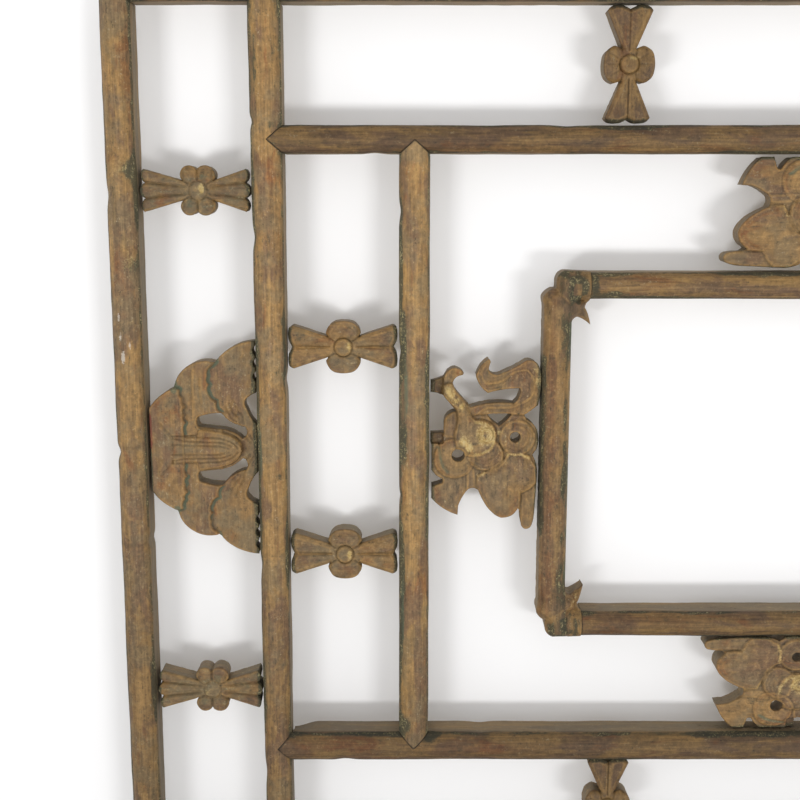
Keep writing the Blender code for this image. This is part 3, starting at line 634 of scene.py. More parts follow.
def dirt_and_shade_colour(wood, colour):
    """Grey sides, soot in the corners, darker rims, dirt and painted shade round contacts and in cuts, dark
    joints, flecks and dust.
    """
    colour = wood.blend(wood.mask("side") * (wood.films * 0.6 + 0.45), colour, SIDE_GREY)
    colour = wood.blend(wood.mask("side") * wood.bands.between(0.5, 0.7) * 0.4, colour, HONEY)
    # Soot falls on the rims, round the contacts and on the dark marks; round the contacts it is partly
    # painted shade
    dirt_and_shade_amount = wood.mask("rim") * 0.5 + wood.mask("near") * 0.6 + wood.mask("dark")
    soot_and_shade = (dirt_and_shade_amount + wood.stains * 0.8 + wood.ragged * 0.6 + wood.patches * 0.6 - 1.31).between(0.0, 0.26)
    colour = wood.blend(soot_and_shade * 0.85, colour, SOOT_AND_SHADE_BLACK)
    # The cuts are painted dark: dirt in them, and painted shade in the grooves and at the feet of raised
    # parts
    colour = wood.blend(wood.mask("cut") * (wood.ragged * 0.9 + 0.1), colour, DARK)
    crumbs = wood.mask("joint").between(0.76, 0.94) * (wood.ragged * 2.4 - 0.45)
    colour = wood.blend(crumbs, colour, DARK)
    flecks = (wood.grit * 0.7 + wood.ragged * 0.4 + soot_and_shade * 0.15).between(0.7, 0.82)
    flecks = flecks * wood.films.between(0.38, 0.56)
    colour = wood.blend(flecks * soot_and_shade * 0.7, colour, FLECK)
    colour = wood.blend((wood.grit + wood.ragged).between(1.16, 1.3) * 0.5, colour, DUST)
    colour = wood.blend((wood.grit + wood.ragged).between(0.84, 0.72) * 0.55, colour, DARK)
    return colour, soot_and_shade


def painted_colour(wood, colour):
    """What is left of green and red paint, of pale scrapes and of gold leaf."""
    green = (wood.mask("green") * 1.3 + wood.ragged - 0.55).between(0.25, 0.75)
    colour = wood.blend(green * 0.75, colour, GREEN_PAINT)
    red = (wood.mask("red") * 1.3 + wood.ragged - 0.55).between(0.25, 0.75)
    colour = wood.blend(red * 0.8, colour, RED_PAINT)
    pale = (wood.mask("pale") * 1.2 + wood.ragged * 0.7 + wood.grit * 0.9 - 1.35).between(0.1, 0.35)
    colour = wood.blend(pale * 0.7, colour, PALE_NICK)
    gilt = wood.mask("gold") * 1.1 + wood.ragged * 1.2 + wood.grit * 1.2 + wood.patches * 0.8 - 1.72
    gold = gilt.between(0.0, 0.78)
    leaf = wood.blend((wood.grit + wood.ragged * 0.5).between(0.6, 0.95), GOLD_LEAF, PALE_GOLD)
    return wood.blend(gold * 0.74, colour, leaf), green, gold


# The dirt layer also holds painted shade round the contacts and in the cuts
print("three layers: bare wood, its dirt, its paint")

# %% The eight finishes
SIDE_SHADE = 0.95
SPECULAR = 0.28


def old_wood(name, along, honey, film, shade, streaks, mottle):
    """Aged softwood, with its amounts of honey bands, dull film, light, streaks and mottle."""
    wood = Finish(name)
    wood.grow(along)
    colour, gleam = bare_colour(wood, honey, film, streaks, mottle)
    colour, soot_and_shade = dirt_and_shade_colour(wood, colour)
    colour, green, gold = painted_colour(wood, colour)
    depth = wood.mask("tone") * (wood.mask("side") * (SIDE_SHADE - shade) + shade)
    wood.feed("Base Color", wood.scaled(colour, depth))
    dull = 0.62 - 0.1 * gleam + 0.2 * soot_and_shade + 0.12 * wood.mask("side") - 0.12 * gold
    dull = dull + 0.12 * (wood.grit - 0.5)
    wood.feed("Roughness", dull)
    wood.feed("Metallic", gold * 0.3)
    wood.shader.inputs["Specular IOR Level"].default_value = SPECULAR
    relief = 0.6 * wood.fibres + 0.35 * wood.ragged + 0.25 * wood.grit + 0.25 * green + 0.15 * soot_and_shade
    bump = wood.node("ShaderNodeBump", None, {"Strength": 0.5, "Distance": MM, "Height": relief})
    wood.feed("Normal", bump)
    return wood.material


woods = {
    "strip_x": old_wood("strip wood across", "x", 1.0, 0.1, 0.56, 0.5, 0.26),
    "strip_z": old_wood("strip wood upright", "z", 1.0, 0.66, 0.98, 0.42, 0.28),
    "inner_z": old_wood("inner stile wood", "z", 0.8, 0.3, 0.8, 0.4, 0.34),
    "bow_x": old_wood("bow wood across", "x", 0.45, 0.85, 0.81, 0.22, 0.34),
    "bow_z": old_wood("bow wood upright", "z", 0.75, 0.15, 0.58, 0.25, 0.3),
    "bat_z": old_wood("bat wood", "z", 0.5, 0.85, 0.87, 0.26, 0.26),
    "butterfly_z": old_wood("butterfly wood upright", "z", 0.5, 0.6, 0.92, 0.24, 0.36),
    "butterfly_x": old_wood("butterfly wood across", "x", 0.5, 0.6, 0.88, 0.24, 0.34),
}
print(len(woods), "wood finishes")

# %% [markdown]
# ## Planing the twelve strips
#
# A strip could be modelled twelve times by hand, but then no two sections would agree. Here each is
# an empty object whose modifier runs the tree, and only the numbers differ. The modifier's inputs are
# set by the identifiers of the sockets, before the object is evaluated for the first time. A stile
# runs up Z as the tree makes it, and a rail is turned to run along X.

# %% Plane a strip and cut its joints
OVERRUN = 4.0
SECOND_STILE_WIDTHS = (17.6, 20.6)
# What the plane takes off all round, and how much deeper it may dig
SHAVING = 0.2
WAVER = 0.75


def strip_run(node):
    """Centre line, ends and widths of a strip, from the box of its solid."""
    low, high = boxes[node]
    along, across = (2, 0) if node.startswith("stile") else (0, 2)
    width = high[across] - low[across]
    widths = SECOND_STILE_WIDTHS if "stile_second" in node else (width, width)
    return along, across, (low[across] + high[across]) / 2, low[along], high[along], widths


def plane_strip(node, seed, material):
    """One strip: swept, wavered, turned to its place and cut to its joints."""
    along, _, centre, start, end, widths = strip_run(node)
    piece = plain_object(node + "_planed", bpy.data.meshes.new(node))
    sweep = piece.modifiers.new("Strip", "NODES")
    sweep.node_group = strip_group
    sizes = {
        "Start": (start - OVERRUN) * MM,
        "End": (end + OVERRUN) * MM,
        "First Width": (widths[0] - 2 * SHAVING) * MM,
        "Last Width": (widths[1] - 2 * SHAVING) * MM,
        "Side Depth": SIDE_DEPTH * MM,
        "Crown Rise": (CROWN_RISE - SHAVING) * MM,
        "Waver": WAVER * MM,
        "Seed": float(seed),
    }
    for socket in strip_group.interface.items_tree:
        if socket.in_out == "INPUT":
            sweep[socket.identifier] = sizes[socket.name]
    mesh = settle(piece)
    if along == 0:
        mesh.transform(Matrix.Rotation(math.radians(90), 4, "Y"))
        mesh.transform(Matrix.Translation((0, -SHAVING / 2 * MM, centre * MM)))
    else:
        mesh.transform(Matrix.Translation((centre * MM, -SHAVING / 2 * MM, 0)))
    solid = merged_copy(node)
    joints = piece.modifiers.new("Joints", "BOOLEAN")
    joints.operation = "INTERSECT"
    joints.object = solid
    mesh = settle(piece)
    bpy.data.objects.remove(solid)
    mesh.materials.clear()
    mesh.materials.append(material)
    return piece


strip_group = strip_tree(woods["strip_z"])
print("the tree of a strip has", len(strip_group.nodes), "nodes")

# %% [markdown]
# ## Wear, stains and nicks of the strips
#
# Noise alone never puts a stain where hands or water put it. So the marks that catch the eye are
# listed by their place: a kind, a middle (x, z), half a width, half a height and an amount. Each is
# a soft oval on the face of its strip. A nick in an edge shows in the outline, which no paint can
# give, so the few that can be seen from afar are pressed into the mesh, and so is the worn upper
# edge at one end of a lower rail.

# %% Where the strips are worn
# How light each strip is
STRIP_TONE = {
    "rail_inner_top": 1.2, "rail_inner_bottom": 1.06, "rail_outer_top": 1.04, "rail_second_top": 0.92,
    "stile_outer_left": 0.93, "stile_second_left": 1.03, "stile_third_left": 1.09,
}
STRIP_WEAR = {
    "stile_outer_left": (
        ("dark", -407.5, -103.0, 7.5, 7.0, 0.46), ("green", -406.0, -104.0, 6.0, 6.0, 0.3),
        ("gold", -410.0, -101.5, 5.0, 4.0, 0.42), ("dark", -407.0, -159.1, 5.0, 8.5, 0.46),
        ("green", -405.6, -160.0, 3.4, 7.0, 0.4), ("gold", -407.0, -157.0, 3.0, 6.0, 0.36),
        ("pale", -415.0, -190.0, 1.6, 5.0, 0.8), ("pale", -414.2, -202.0, 1.8, 5.0, 0.8),
        ("pale", -413.1, -214.1, 1.8, 7.0, 1.0), ("pale", -409.0, -207.0, 1.4, 5.0, 0.8),
        ("cut", -411.0, -269.5, 7.0, 1.0, 0.7), ("cut", -414.0, -290.2, 2.5, 2.0, 0.8),
        ("cut", -411.0, -331.6, 9.0, 1.0, 0.6),
    ),
    "stile_second_left": (
        ("dark", -322.4, -77.4, 2.2, 3.4, 0.5), ("dark", -324.5, -153.0, 2.4, 3.6, 0.6),
        ("dark", -325.5, -145.0, 5.5, 9.0, 0.36), ("dark", -320.0, -30.0, 3.0, 30.0, 0.36),
        ("dark", -321.6, -223.4, 2.4, 3.6, 0.42), ("dark", -321.4, -287.6, 2.8, 3.6, 0.42),
        ("dark", -331.0, -42.0, 2.0, 28.0, 0.6), ("rust", -326.0, -104.0, 4.0, 9.0, 0.5),
        ("rust", -325.0, -136.0, 4.0, 10.0, 0.5), ("green", -332.0, -274.0, 1.4, 26.0, 0.5),
        ("cut", -320.0, -106.0, 3.0, 1.2, 0.6),
    ),
    "stile_third_left": (
        ("dark", -245.5, -205.0, 2.6, 22.0, 0.6), ("green", -243.5, -235.0, 2.2, 22.0, 0.6),
        ("dark", -246.5, -165.0, 1.6, 30.0, 0.5), ("dark", -244.5, -265.0, 2.4, 20.0, 0.55),
        ("dark", -245.5, -375.0, 2.0, 44.0, 0.45), ("green", -245.5, -375.0, 1.6, 40.0, 0.5),
        ("green", -229.5, -150.0, 2.0, 22.0, 0.4), ("dark", -229.5, -230.0, 1.8, 16.0, 0.45),
        ("red", -240.0, -168.0, 1.5, 16.0, 0.4), ("dark", -244.0, -450.0, 5.0, 8.0, 0.6),
    ),
    "rail_second_top": (
        ("dark", -300.0, -88.0, 30.0, 2.2, 0.4), ("rust", -200.0, -92.0, 40.0, 5.0, 0.4),
        ("dark", -114.2, -78.5, 15.0, 2.2, 0.5), ("rust", -114.2, -79.0, 18.0, 3.0, 0.6),
    ),
    "rail_second_bottom": (
        ("dark", -262.0, -456.0, 14.0, 3.0, 0.5), ("dark", -228.0, -458.0, 5.0, 7.0, 0.5),
        ("rust", -290.0, -464.0, 30.0, 4.0, 0.5), ("rust", -200.0, -466.0, 40.0, 4.0, 0.5),
    ),
    "rail_inner_top": (
        ("dark", -131.0, -171.0, 3.6, 8.0, 0.5), ("dark", -120.0, -176.5, 12.0, 3.0, 0.5),
        ("dark", -122.0, -166.0, 9.0, 2.0, 0.45), ("dark", -100.0, -178.0, 40.0, 1.6, 0.4),
        ("worn", -106.0, -172.0, 26.0, 3.4, 0.8),
    ),
    "rail_inner_bottom": (("dark", -130.0, -374.0, 4.0, 3.0, 0.6), ("rust", -90.0, -380.0, 50.0, 4.0, 0.4)),
}

print(sum(len(marks) for marks in STRIP_WEAR.values()), "marks on", len(STRIP_WEAR), "strips")

# %% Where their edges are dented
# Middle (x, z), half length and depth of each nick
STRIP_NICKS = {
    "stile_outer_left": ((-420.5, -273.0, 3.4, 1.7), (-420.5, -118.0, 5.0, 0.9), (-402.0, -331.0, 3.0, 0.9)),
    "stile_second_left": (
        (-334.0, -76.0, 3.0, 1.1), (-334.5, -143.0, 5.0, 1.0), (-335.5, -484.0, 8.0, 1.3),
        (-335.0, -345.0, 6.0, 1.0), (-316.0, -230.0, 4.0, 0.9),
    ),
    "stile_third_left": ((-248.2, -128.0, 5.0, 1.1), (-248.2, -212.0, 5.0, 1.0), (-248.2, -302.0, 4.0, 1.0)),
    "rail_second_bottom": ((-282.0, -476.4, 5.0, 0.9), (-196.0, -456.6, 6.0, 0.8)),
    "rail_second_top": ((-262.0, -94.9, 5.0, 0.8), (-150.0, -77.5, 7.0, 0.7)),
}
NICK_REACH = 3.0
# The rail whose end slopes: where the slope starts and ends, how far it falls, and the heights
# above the back between which it fades, so that the face stays as it is
SLOPED_RAIL = "rail_second_bottom"
SLOPE_START, SLOPE_END, SLOPE_FALL = -299.0, -316.0, 3.6
SLOPE_FADE_TOP, SLOPE_FADE_FOOT, SLOPE_RISE = 14.0, 3.0, 6.0


def dent(node, places):
    """Press the nicks into the edges of a strip, and the slope into the upper back edge of its rail."""
    along, across, centre = strip_run(node)[:3]
    for x, z, length, depth in STRIP_NICKS.get(node, ()):
        middle = (x, z) if along == 2 else (z, x)
        away = (places[:, across] - middle[0]) / NICK_REACH
        spot = depth * np.exp(-away ** 2 - ((places[:, along] - middle[1]) / length) ** 2)
        places[:, across] += spot * math.copysign(1, centre - middle[0])
    if node == SLOPED_RAIL:
        behind = smooth(SLOPE_FADE_TOP, SLOPE_FADE_FOOT, -places[:, 1])
        behind = behind * smooth(centre, centre + SLOPE_RISE, places[:, 2])
        places[:, 2] -= SLOPE_FALL * behind * smooth(SLOPE_START, SLOPE_END, places[:, 0])
    return places


nick_depths = [nick[3] for nicks in STRIP_NICKS.values() for nick in nicks]
print(len(nick_depths), "nicks, the deepest", max(nick_depths), "mm")

# %% The masks of a strip
# Dirt and painted shade round a contact, and dirt along a joint: how much, and how far it reaches
CONTACT_DIRT_AND_SHADE = (0.55, 6.0)
JOINT_DIRT = (0.34, 5.0)
JOINT_REACH = 3.0
# A strip gets darker towards the bottom: by what share, and between which heights
STILE_FALL = 0.27
RAIL_FALL = 0.16
FALL_START, FALL_END = -250.0, -470.0


def joint_distance(node, places):
    """Distance from each place to the nearest joint of a strip."""
    nearest = np.full(len(places), FAR)
    for other in filter(is_strip, boxes):
        line = joint_line(node, other)
        if line is not None:
            nearest = np.minimum(nearest, line_distance(line, places[:, 0], places[:, 2]))
    return nearest


def strip_masks(node, places):
    """Where a strip is dirty, worn or painted, where it gets painted shade, and how light it is."""
    height = -places[:, 1]
    on_face = smooth(SIDE_DEPTH * 0.93, SIDE_DEPTH + 0.3, height)
    contact = CONTACT_DIRT_AND_SHADE[0] * bell(contact_distance(node, places), 0.0, CONTACT_DIRT_AND_SHADE[1])
    joined = joint_distance(node, places)
    masks = {
        # The rim of the crown, just above the side, is painted darker
        "rim": bell(np.maximum(height - SIDE_DEPTH - 0.8, 0), 0.0, 1.9) * on_face,
        # Round its contacts the strip is painted darker, partly dirt and partly painted shade; along its
        # joints it is dirt
        "near": np.maximum(contact, JOINT_DIRT[0] * bell(joined, 0.0, JOINT_DIRT[1])),
        "joint": np.clip(1 - joined / JOINT_REACH, 0, 1) * smooth(SIDE_DEPTH - 2.0, SIDE_DEPTH, height),
        "side": 1 - on_face,
    }
    for name, x, z, wide, high, amount in STRIP_WEAR.get(node, ()):
        spot = amount * np.exp(-((places[:, 0] - x) / wide) ** 2 - ((places[:, 2] - z) / high) ** 2)
        masks[name] = np.maximum(masks.get(name, 0.0), spot * on_face)
    fall = STILE_FALL if node.startswith("stile") else RAIL_FALL
    masks["tone"] = STRIP_TONE.get(node, 1.0) * (1 - fall * smooth(FALL_START, FALL_END, places[:, 2]))
    return masks


pairs = [(a, b) for a in boxes for b in boxes if a < b and is_strip(a) and is_strip(b)]
print(sum(joint_line(*pair) is not None for pair in pairs), "joints between strips")

# %% Make the strips
STRIP_CREASE = math.radians(50)
SEED_STEP = 3.7


def hand_over(piece, node, slot):
    """The piece rides on the panel and stands for its solid."""
    piece.name = node + "_wood"
    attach(piece, "root")
    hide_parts(node)


def finish_strip(node, piece, number):
    """Dent a strip, write its wear, dirt and painted shade on its vertices and hand it over to the frame."""
    mesh = piece.data
    places = dent(node, coordinates(mesh))
    mesh.vertices.foreach_set("co", (places * MM).ravel())
    store(mesh, shift=number + 1, **strip_masks(node, places))
    mesh.shade_smooth()
    mesh.set_sharp_from_angle(angle=STRIP_CREASE)
    hand_over(piece, node, "strip_wood")


strips = sorted(node for node in boxes if is_strip(node) and "stile_inner" not in node)
for number, strip_node in enumerate(strips):
    finish = woods["strip_z" if strip_node.startswith("stile") else "strip_x"]
    strip_piece = plane_strip(strip_node, number * SEED_STEP + 1.0, finish)
    finish_strip(strip_node, strip_piece, number)
    print(strip_node, len(strip_piece.data.polygons), "faces")

# %% [markdown]
# ## Carving a plate
#
# An ornament is sawn out of a board, pierced, and then carved from the front. Sculpting by hand
# can't be repeated, so the face is built as a net of small triangles: the outline, the main cuts and
# a fine grid of points go into Blender's own constrained triangulation. Each point then gets its
# height from the cuts of the gouge. Walls and a sawn back close the plate.

# %% The face that is carved
PAINTS = ("cut", "worn", "dark", "rust", "green", "gold", "red")


class Face:
    """The face of a piece while it is carved: its points, their height, and where it is cut or painted."""

    def __init__(self, p, q, height):
        self.p = p
        self.q = q
        self.height = np.full(len(p), float(height))
        self.masks = {name: np.zeros(len(p)) for name in PAINTS}

    def mark(self, name, amount):
        self.masks[name] = np.maximum(self.masks[name], amount)

    def step(self, loop, rise, width=0.3):
        """Lower everything outside a loop: a steep edge with dirt and painted shade along its foot and wear
        along its top.
        """
        depth = loop_depth(loop, self.p, self.q)
        self.height += rise * smooth(-width, width, depth)
        self.mark("cut", bell(depth, -2 * width, 0.8))
        self.mark("worn", 0.8 * bell(depth, 2 * width, 0.6))
        return depth

    def groove(self, line, width, depth, cut_dirt_and_shade=1.0):
        """Cut along a line with a V-gouge; the groove is painted dark, with dirt and painted shade."""
        distance = line_distance(line, self.p, self.q)
        profile = 1 - smooth(0, width, distance)
        self.height -= depth * profile
        self.mark("cut", cut_dirt_and_shade * profile)
        self.mark("worn", 0.5 * cut_dirt_and_shade * bell(distance, width * 1.3, 0.5))

    def ridge(self, line, width, rise):
        """Leave a raised line standing."""
        profile = 1 - smooth(0, width, line_distance(line, self.p, self.q))
        self.height += rise * profile
        self.mark("worn", profile)

    def spot(self, name, p, q, radius, amount=1.0):
        """A round patch of paint or wear."""
        self.mark(name, amount * bell(np.hypot(self.p - p, self.q - q), 0.0, radius))


print("marks that the carver leaves:", ", ".join(PAINTS))

# %% The net
# Rows of equal-sided triangles, and how far their points are shaken, as shares of the spacing
ROW_SHARE = 0.866
JITTER = 0.12
# A band of points on both sides of every edge; the grid keeps clear of edges and of drawn lines
EDGE_BAND = 0.35
EDGE_CLEAR = 0.3
LINE_CLEAR = 0.12


def offset_points(loop, distance):
    """The points of a loop pushed sideways."""
    points = np.array(loop)
    way = np.roll(points, -1, 0) - np.roll(points, 1, 0)
    way /= np.maximum(np.linalg.norm(way, axis=1, keepdims=True), 1e-9)
    return points + np.stack((way[:, 1], -way[:, 0]), 1) * distance


def net(outline, holes, lines, spacing, seed):
    """Points and triangles of a flat plate, fine enough to carve."""
    loops = [outline] + holes
    corners = np.array(outline)
    low, high = corners.min(0), corners.max(0)
    rng = np.random.default_rng(seed)
    rows = np.arange(low[1], high[1], spacing * ROW_SHARE)
    columns = np.arange(low[0], high[0], spacing)
    p, q = np.meshgrid(columns, rows)
    p = p + (np.arange(len(rows)) % 2)[:, None] * spacing / 2
    p = (p + rng.uniform(-JITTER, JITTER, p.shape) * spacing).ravel()
    q = (q + rng.uniform(-JITTER, JITTER, q.shape) * spacing).ravel()
    for loop in loops:
        edge = offset_points(loop, EDGE_BAND)
        p = np.concatenate((p, edge[:, 0], 2 * np.array(loop)[:, 0] - edge[:, 0]))
        q = np.concatenate((q, edge[:, 1], 2 * np.array(loop)[:, 1] - edge[:, 1]))
    room = loop_depth(outline, p, q)
    for hole in holes:
        room = np.minimum(room, -loop_depth(hole, p, q))
    for line in lines:
        room = np.minimum(room, line_distance(line, p, q) - LINE_CLEAR)
    keep = room > EDGE_CLEAR
    points = []
    edges = []
    for path, closed in [(loop, True) for loop in loops] + [(line, False) for line in lines]:
        first = len(points)
        points += path
        edges += [(first + k, first + k + 1) for k in range(len(path) - 1)]
        if closed:
            edges.append((len(points) - 1, first))
    points += list(zip(p[keep], q[keep]))
    made = delaunay_2d_cdt([Vector(point) for point in points], edges, [], 0, 0.01)
    flat = np.array([tuple(point) for point in made[0]])
    triangles = np.array(made[2])
    middle = flat[triangles].mean(1)
    wood = inside(outline, middle[:, 0], middle[:, 1])
    for hole in holes:
        wood &= ~inside(hole, middle[:, 0], middle[:, 1])
    triangles = triangles[wood]
    used, triangles = np.unique(triangles, return_inverse=True)
    return flat[used], triangles.reshape(-1, 3)


print("a net with", len(net(circle(0, 0, 5), [], [], 1.0, 0)[0]), "points")

# %% The rim of a face
def rim_edges(triangles):
    """The directed edges that belong to one triangle only."""
    edges = np.concatenate((triangles[:, :2], triangles[:, 1:], triangles[:, [2, 0]]))
    size = triangles.max() + 1
    keys = edges[:, 0] * size + edges[:, 1]
    twins = edges[:, 1] * size + edges[:, 0]
    return edges[~np.isin(keys, twins)]


def rim_inside(points, edges, middle):
    """Which places lie on the wood's side of the rim, by counting crossings."""
    result = np.zeros(len(middle), bool)
    p, q = middle[:, 0], middle[:, 1]
    for (p0, q0), (p1, q1) in points[edges]:
        if q0 != q1:
            result ^= ((q0 > q) != (q1 > q)) & (p < p0 + (q - q0) * (p1 - p0) / (q1 - q0))
    return result


trial_flat, trial_triangles = net(circle(0, 0, 5), [], [], 1.0, 0)
print("its rim has", len(rim_edges(trial_triangles)), "edges")

# %% Walls and a back
WALL_ROWS = 6
# A sawn wall wavers by up to twice the first number, and leans in by the second towards the back
SAW_WAVER = 0.14
SAW_LEAN = 0.25


def close_plate(flat, height, triangles, back, seed):
    """Add walls and a back to a face; gives all points (p, q, height), faces and the side mask."""
    rim = rim_edges(triangles)
    rim_points, rim_local = np.unique(rim, return_inverse=True)
    rim_local = rim_local.reshape(-1, 2)
    outward = np.zeros((len(rim_points), 2))
    for start, end in rim_local:
        way = flat[rim_points[end]] - flat[rim_points[start]]
        push = np.array((way[1], -way[0])) / max(np.hypot(*way), 1e-9)
        outward[start] += push
        outward[end] += push
    outward /= np.maximum(np.linalg.norm(outward, axis=1, keepdims=True), 1e-9)
    points = [np.column_stack((flat, height))]
    faces = [tuple(face) for face in triangles]
    upper = rim_points
    total = len(flat)
    edge_flat, edge_height = flat[rim_points], height[rim_points]
    for row in range(1, WALL_ROWS + 1):
        share = row / WALL_ROWS
        level = edge_height + (back - edge_height) * share
        along = (edge_flat[:, 0] + edge_flat[:, 1]) / 2.2
        inward = SAW_WAVER + SAW_WAVER * ripple(along, level / 6.0, seed) + SAW_LEAN * share
        inward *= smooth(0, 0.2, share)
        moved = edge_flat - outward * inward[:, None]
        points.append(np.column_stack((moved, level)))
        lower = np.arange(total, total + len(rim_points))
        for start, end in rim_local:
            faces.append((upper[end], upper[start], lower[start], lower[end]))
        upper = lower
        total += len(rim_points)
    made = delaunay_2d_cdt([Vector(point) for point in edge_flat], rim_local.tolist(), [], 0, 1e-5)
    back_faces = np.array(made[2])
    middle = np.array([tuple(point) for point in made[0]])[back_faces].mean(1)
    origin = [made[3][k][0] for k in range(len(made[0]))]
    keep = rim_inside(edge_flat, rim_local, middle)
    for face in back_faces[keep]:
        faces.append(tuple(upper[origin[k]] for k in face[::-1]))
    side = np.concatenate((np.zeros(len(flat)), np.ones(total - len(flat))))
    return np.concatenate(points), faces, side


trial_plate = close_plate(trial_flat, np.ones(len(trial_flat)), trial_triangles, 0.0, 0)
print("with walls and a back that net has", len(trial_plate[0]), "points")

# %% Places and tool marks
def placer(origin_x, origin_z, p_way, q_way, stretch=1.0):
    """Turns plate coordinates into the panel's; p_way and q_way are the plate's axes in (x, z)."""
    def place(points):
        p, q, height = points[:, 0] * stretch, points[:, 1], points[:, 2]
        x = origin_x + p * p_way[0] + q * q_way[0]
        z = origin_z + p * p_way[1] + q * q_way[1]
        return np.column_stack((x, -height, z))
    return place


def turns_over(mesh):
    """Whether the faces of a closed mesh point inwards, from the sign of its volume."""
    mesh.calc_loop_triangles()
    corners = np.zeros(len(mesh.loop_triangles) * 3, int)
    mesh.loop_triangles.foreach_get("vertices", corners)
    a, b, c = np.moveaxis(coordinates(mesh)[corners.reshape(-1, 3)], 1, 0)
    return np.einsum("ij,ij->i", a, np.cross(b, c)).sum() < 0


def tool_marks(p, q, seed):
    """The small unevenness that a gouge and a scraper leave."""
    return 0.16 * ripple(p / 4.5, q / 4.5, seed) + 0.07 * ripple(p / 1.7, q / 1.7, seed + 9)


print("tool marks at most", round(float(tool_marks(np.arange(99.0), np.zeros(99), 1).max()), 2), "mm high")

# %% A whole ornament
ORNAMENT_FACE = 15.0
ORNAMENT_BACK = 1.0
# The face of a bat or a butterfly before its layers rise over it
LAYERED_FACE = ORNAMENT_FACE - 1.5
EDGE_ROUND = 0.8
CARVED_CREASE = math.radians(58)


def carve(node, slot, outline, holes, lines, cut, place, number, spacing,
          base=ORNAMENT_FACE, back=ORNAMENT_BACK):
    """A whole ornament: net, cuts, tool marks, rounded edges, walls and back, handed over."""
    flat, triangles = net(outline, holes, lines, spacing, number)
    face = Face(flat[:, 0], flat[:, 1], base)
    room = loop_depth(outline, face.p, face.q, 8.0)
    for hole in holes:
        room = np.minimum(room, -loop_depth(hole, face.p, face.q, 8.0))
    room = np.maximum(room, 0)
    rounded = cut(face, room)
    room = room if rounded is None else rounded
    near_edge = np.clip(1 - room / EDGE_ROUND, 0, 1)
    marks = tool_marks(face.p, face.q, number)
    face.height += marks - EDGE_ROUND * (1 - np.sqrt(1 - near_edge ** 2))
    face.mark("worn", 0.55 * bell(room, 0.7, 0.7))
    points, faces, side = close_plate(flat, face.height, triangles, back, number)
    places = place(points)
    mesh = bpy.data.meshes.new(node)
    mesh.from_pydata((places * MM).tolist(), [], [tuple(int(k) for k in corners) for corners in faces])
    if turns_over(mesh):
        mesh.flip_normals()
    unseen = np.zeros(len(points) - len(flat))
    masks = {name: np.concatenate((mask, unseen)) for name, mask in face.masks.items()}
    # Round the contacts the face is painted darker, partly dirt and partly painted shade; along the outline
    # it is painted darker too
    masks["near"] = 0.9 * bell(contact_distance(node, places), 0.0, 3.4)
    masks["rim"] = np.concatenate((0.3 * bell(room, 0.0, 2.0), unseen))
    # Every piece is a little lighter or darker than its neighbours
    masks["tone"] = 0.97 + 0.06 * ((number * 3) % 7) / 6
    store(mesh, side=side, shift=number + 20, **masks)
    mesh.materials.append(woods[slot])
    mesh.shade_smooth()
    mesh.set_sharp_from_angle(angle=CARVED_CREASE)
    piece = plain_object(node + "_wood", mesh)
    hand_over(piece, node, "strip_wood" if slot == "inner_z" else slot[:-2] + "_wood")
    print(node, len(mesh.polygons), "faces")


print("an ornament reaches from", ORNAMENT_BACK, "to about", ORNAMENT_FACE, "mm in front of the back")

# %% [markdown]
# ## The flower bows
#
# A bow is a flower with a round boss between two flared ribbons that reach from strip to strip. The
# carver made three kinds: four small lobes with three-leaved ribbons, one broad petal above and below
# with a ridge along each ribbon, and an upright kind. Sculpted, they would be three jobs. As lists of
# gouge cuts they share one function, since only the outline and the cuts differ.

# %% Outline of a bow
BOW_NECK = 9.0
BOW_BOSS = 5.2
BOW_RIBBON_HALF = 13.0
BOW_NECK_HALF = {"lobed": 6.0, "broad": 6.2, "upright": 4.2}
BOW_PETAL_TIP = {"broad": 15.4, "upright": 14.4}
BOW_SPACING = 0.62


def ribbon_end(kind, length):
    """Half of a ribbon's flared end, from its axis outward."""
    if kind == "lobed":
        return [(length, 0.0, 0.25), (length - 3.2, 4.6, 0.45), (length - 2.6, BOW_RIBBON_HALF - 0.4, 0.0)]
    taper = 3.2 if kind == "upright" else 1.6
    return [
        (length - 2.6, 0.0, 0.0),
        (length - 0.6, 4.0, 0.12),
        (length - 0.6, BOW_RIBBON_HALF - taper, 0.2),
        (length - 3.6, BOW_RIBBON_HALF + 0.2, 0.0),
    ]


def petals(kind):
    """Half of the flower's outline, from its right neck over to its left neck."""
    neck = BOW_NECK_HALF[kind]
    if kind == "lobed":
        return [(9.4, neck, 0.15), (10.6, 9.0, 0.75), (0.6, 12.2, 0.7), (-10.2, 9.2, 0.2), (-9.4, neck, 0.0)]
    tip = BOW_PETAL_TIP[kind]
    right = [(9.0, neck, 0.05), (10.6, 8.4, 0.28), (5.0, tip, 0.12)]
    return right + [(-5.0, tip, 0.28), (-10.6, 8.4, 0.05), (-9.0, neck, 0.0)]


def bow_outline(kind, far, near):
    """The whole outline of a bow whose ribbons are far and near long."""
    left_end = [(-p, q, bulge) for p, q, bulge in ribbon_end(kind, far)]
    left_side = []
    for corner, following in zip(reversed(left_end[:-1]), reversed(left_end[1:])):
        left_side.append((following[0], following[1], corner[2]))
    return mirrored_path(ribbon_end(kind, near) + petals(kind) + left_side + [left_end[0]])


def ribbon_line(kind, way, length, share, start=BOW_NECK - 1.0, stop=2.4):
    """A line that runs out along a ribbon, at a share of its half width."""
    line = []
    for p in np.arange(start, length - stop, 0.8):
        spread = max(0.0, (p - BOW_NECK) / (length - 3.0 - BOW_NECK))
        half = BOW_NECK_HALF[kind] + min(1.0, spread) * (BOW_RIBBON_HALF - BOW_NECK_HALF[kind])
        line.append((way * p, share * half))
    return line


print("a lobed bow has", len(bow_outline("lobed", 35, 35)), "points round it")

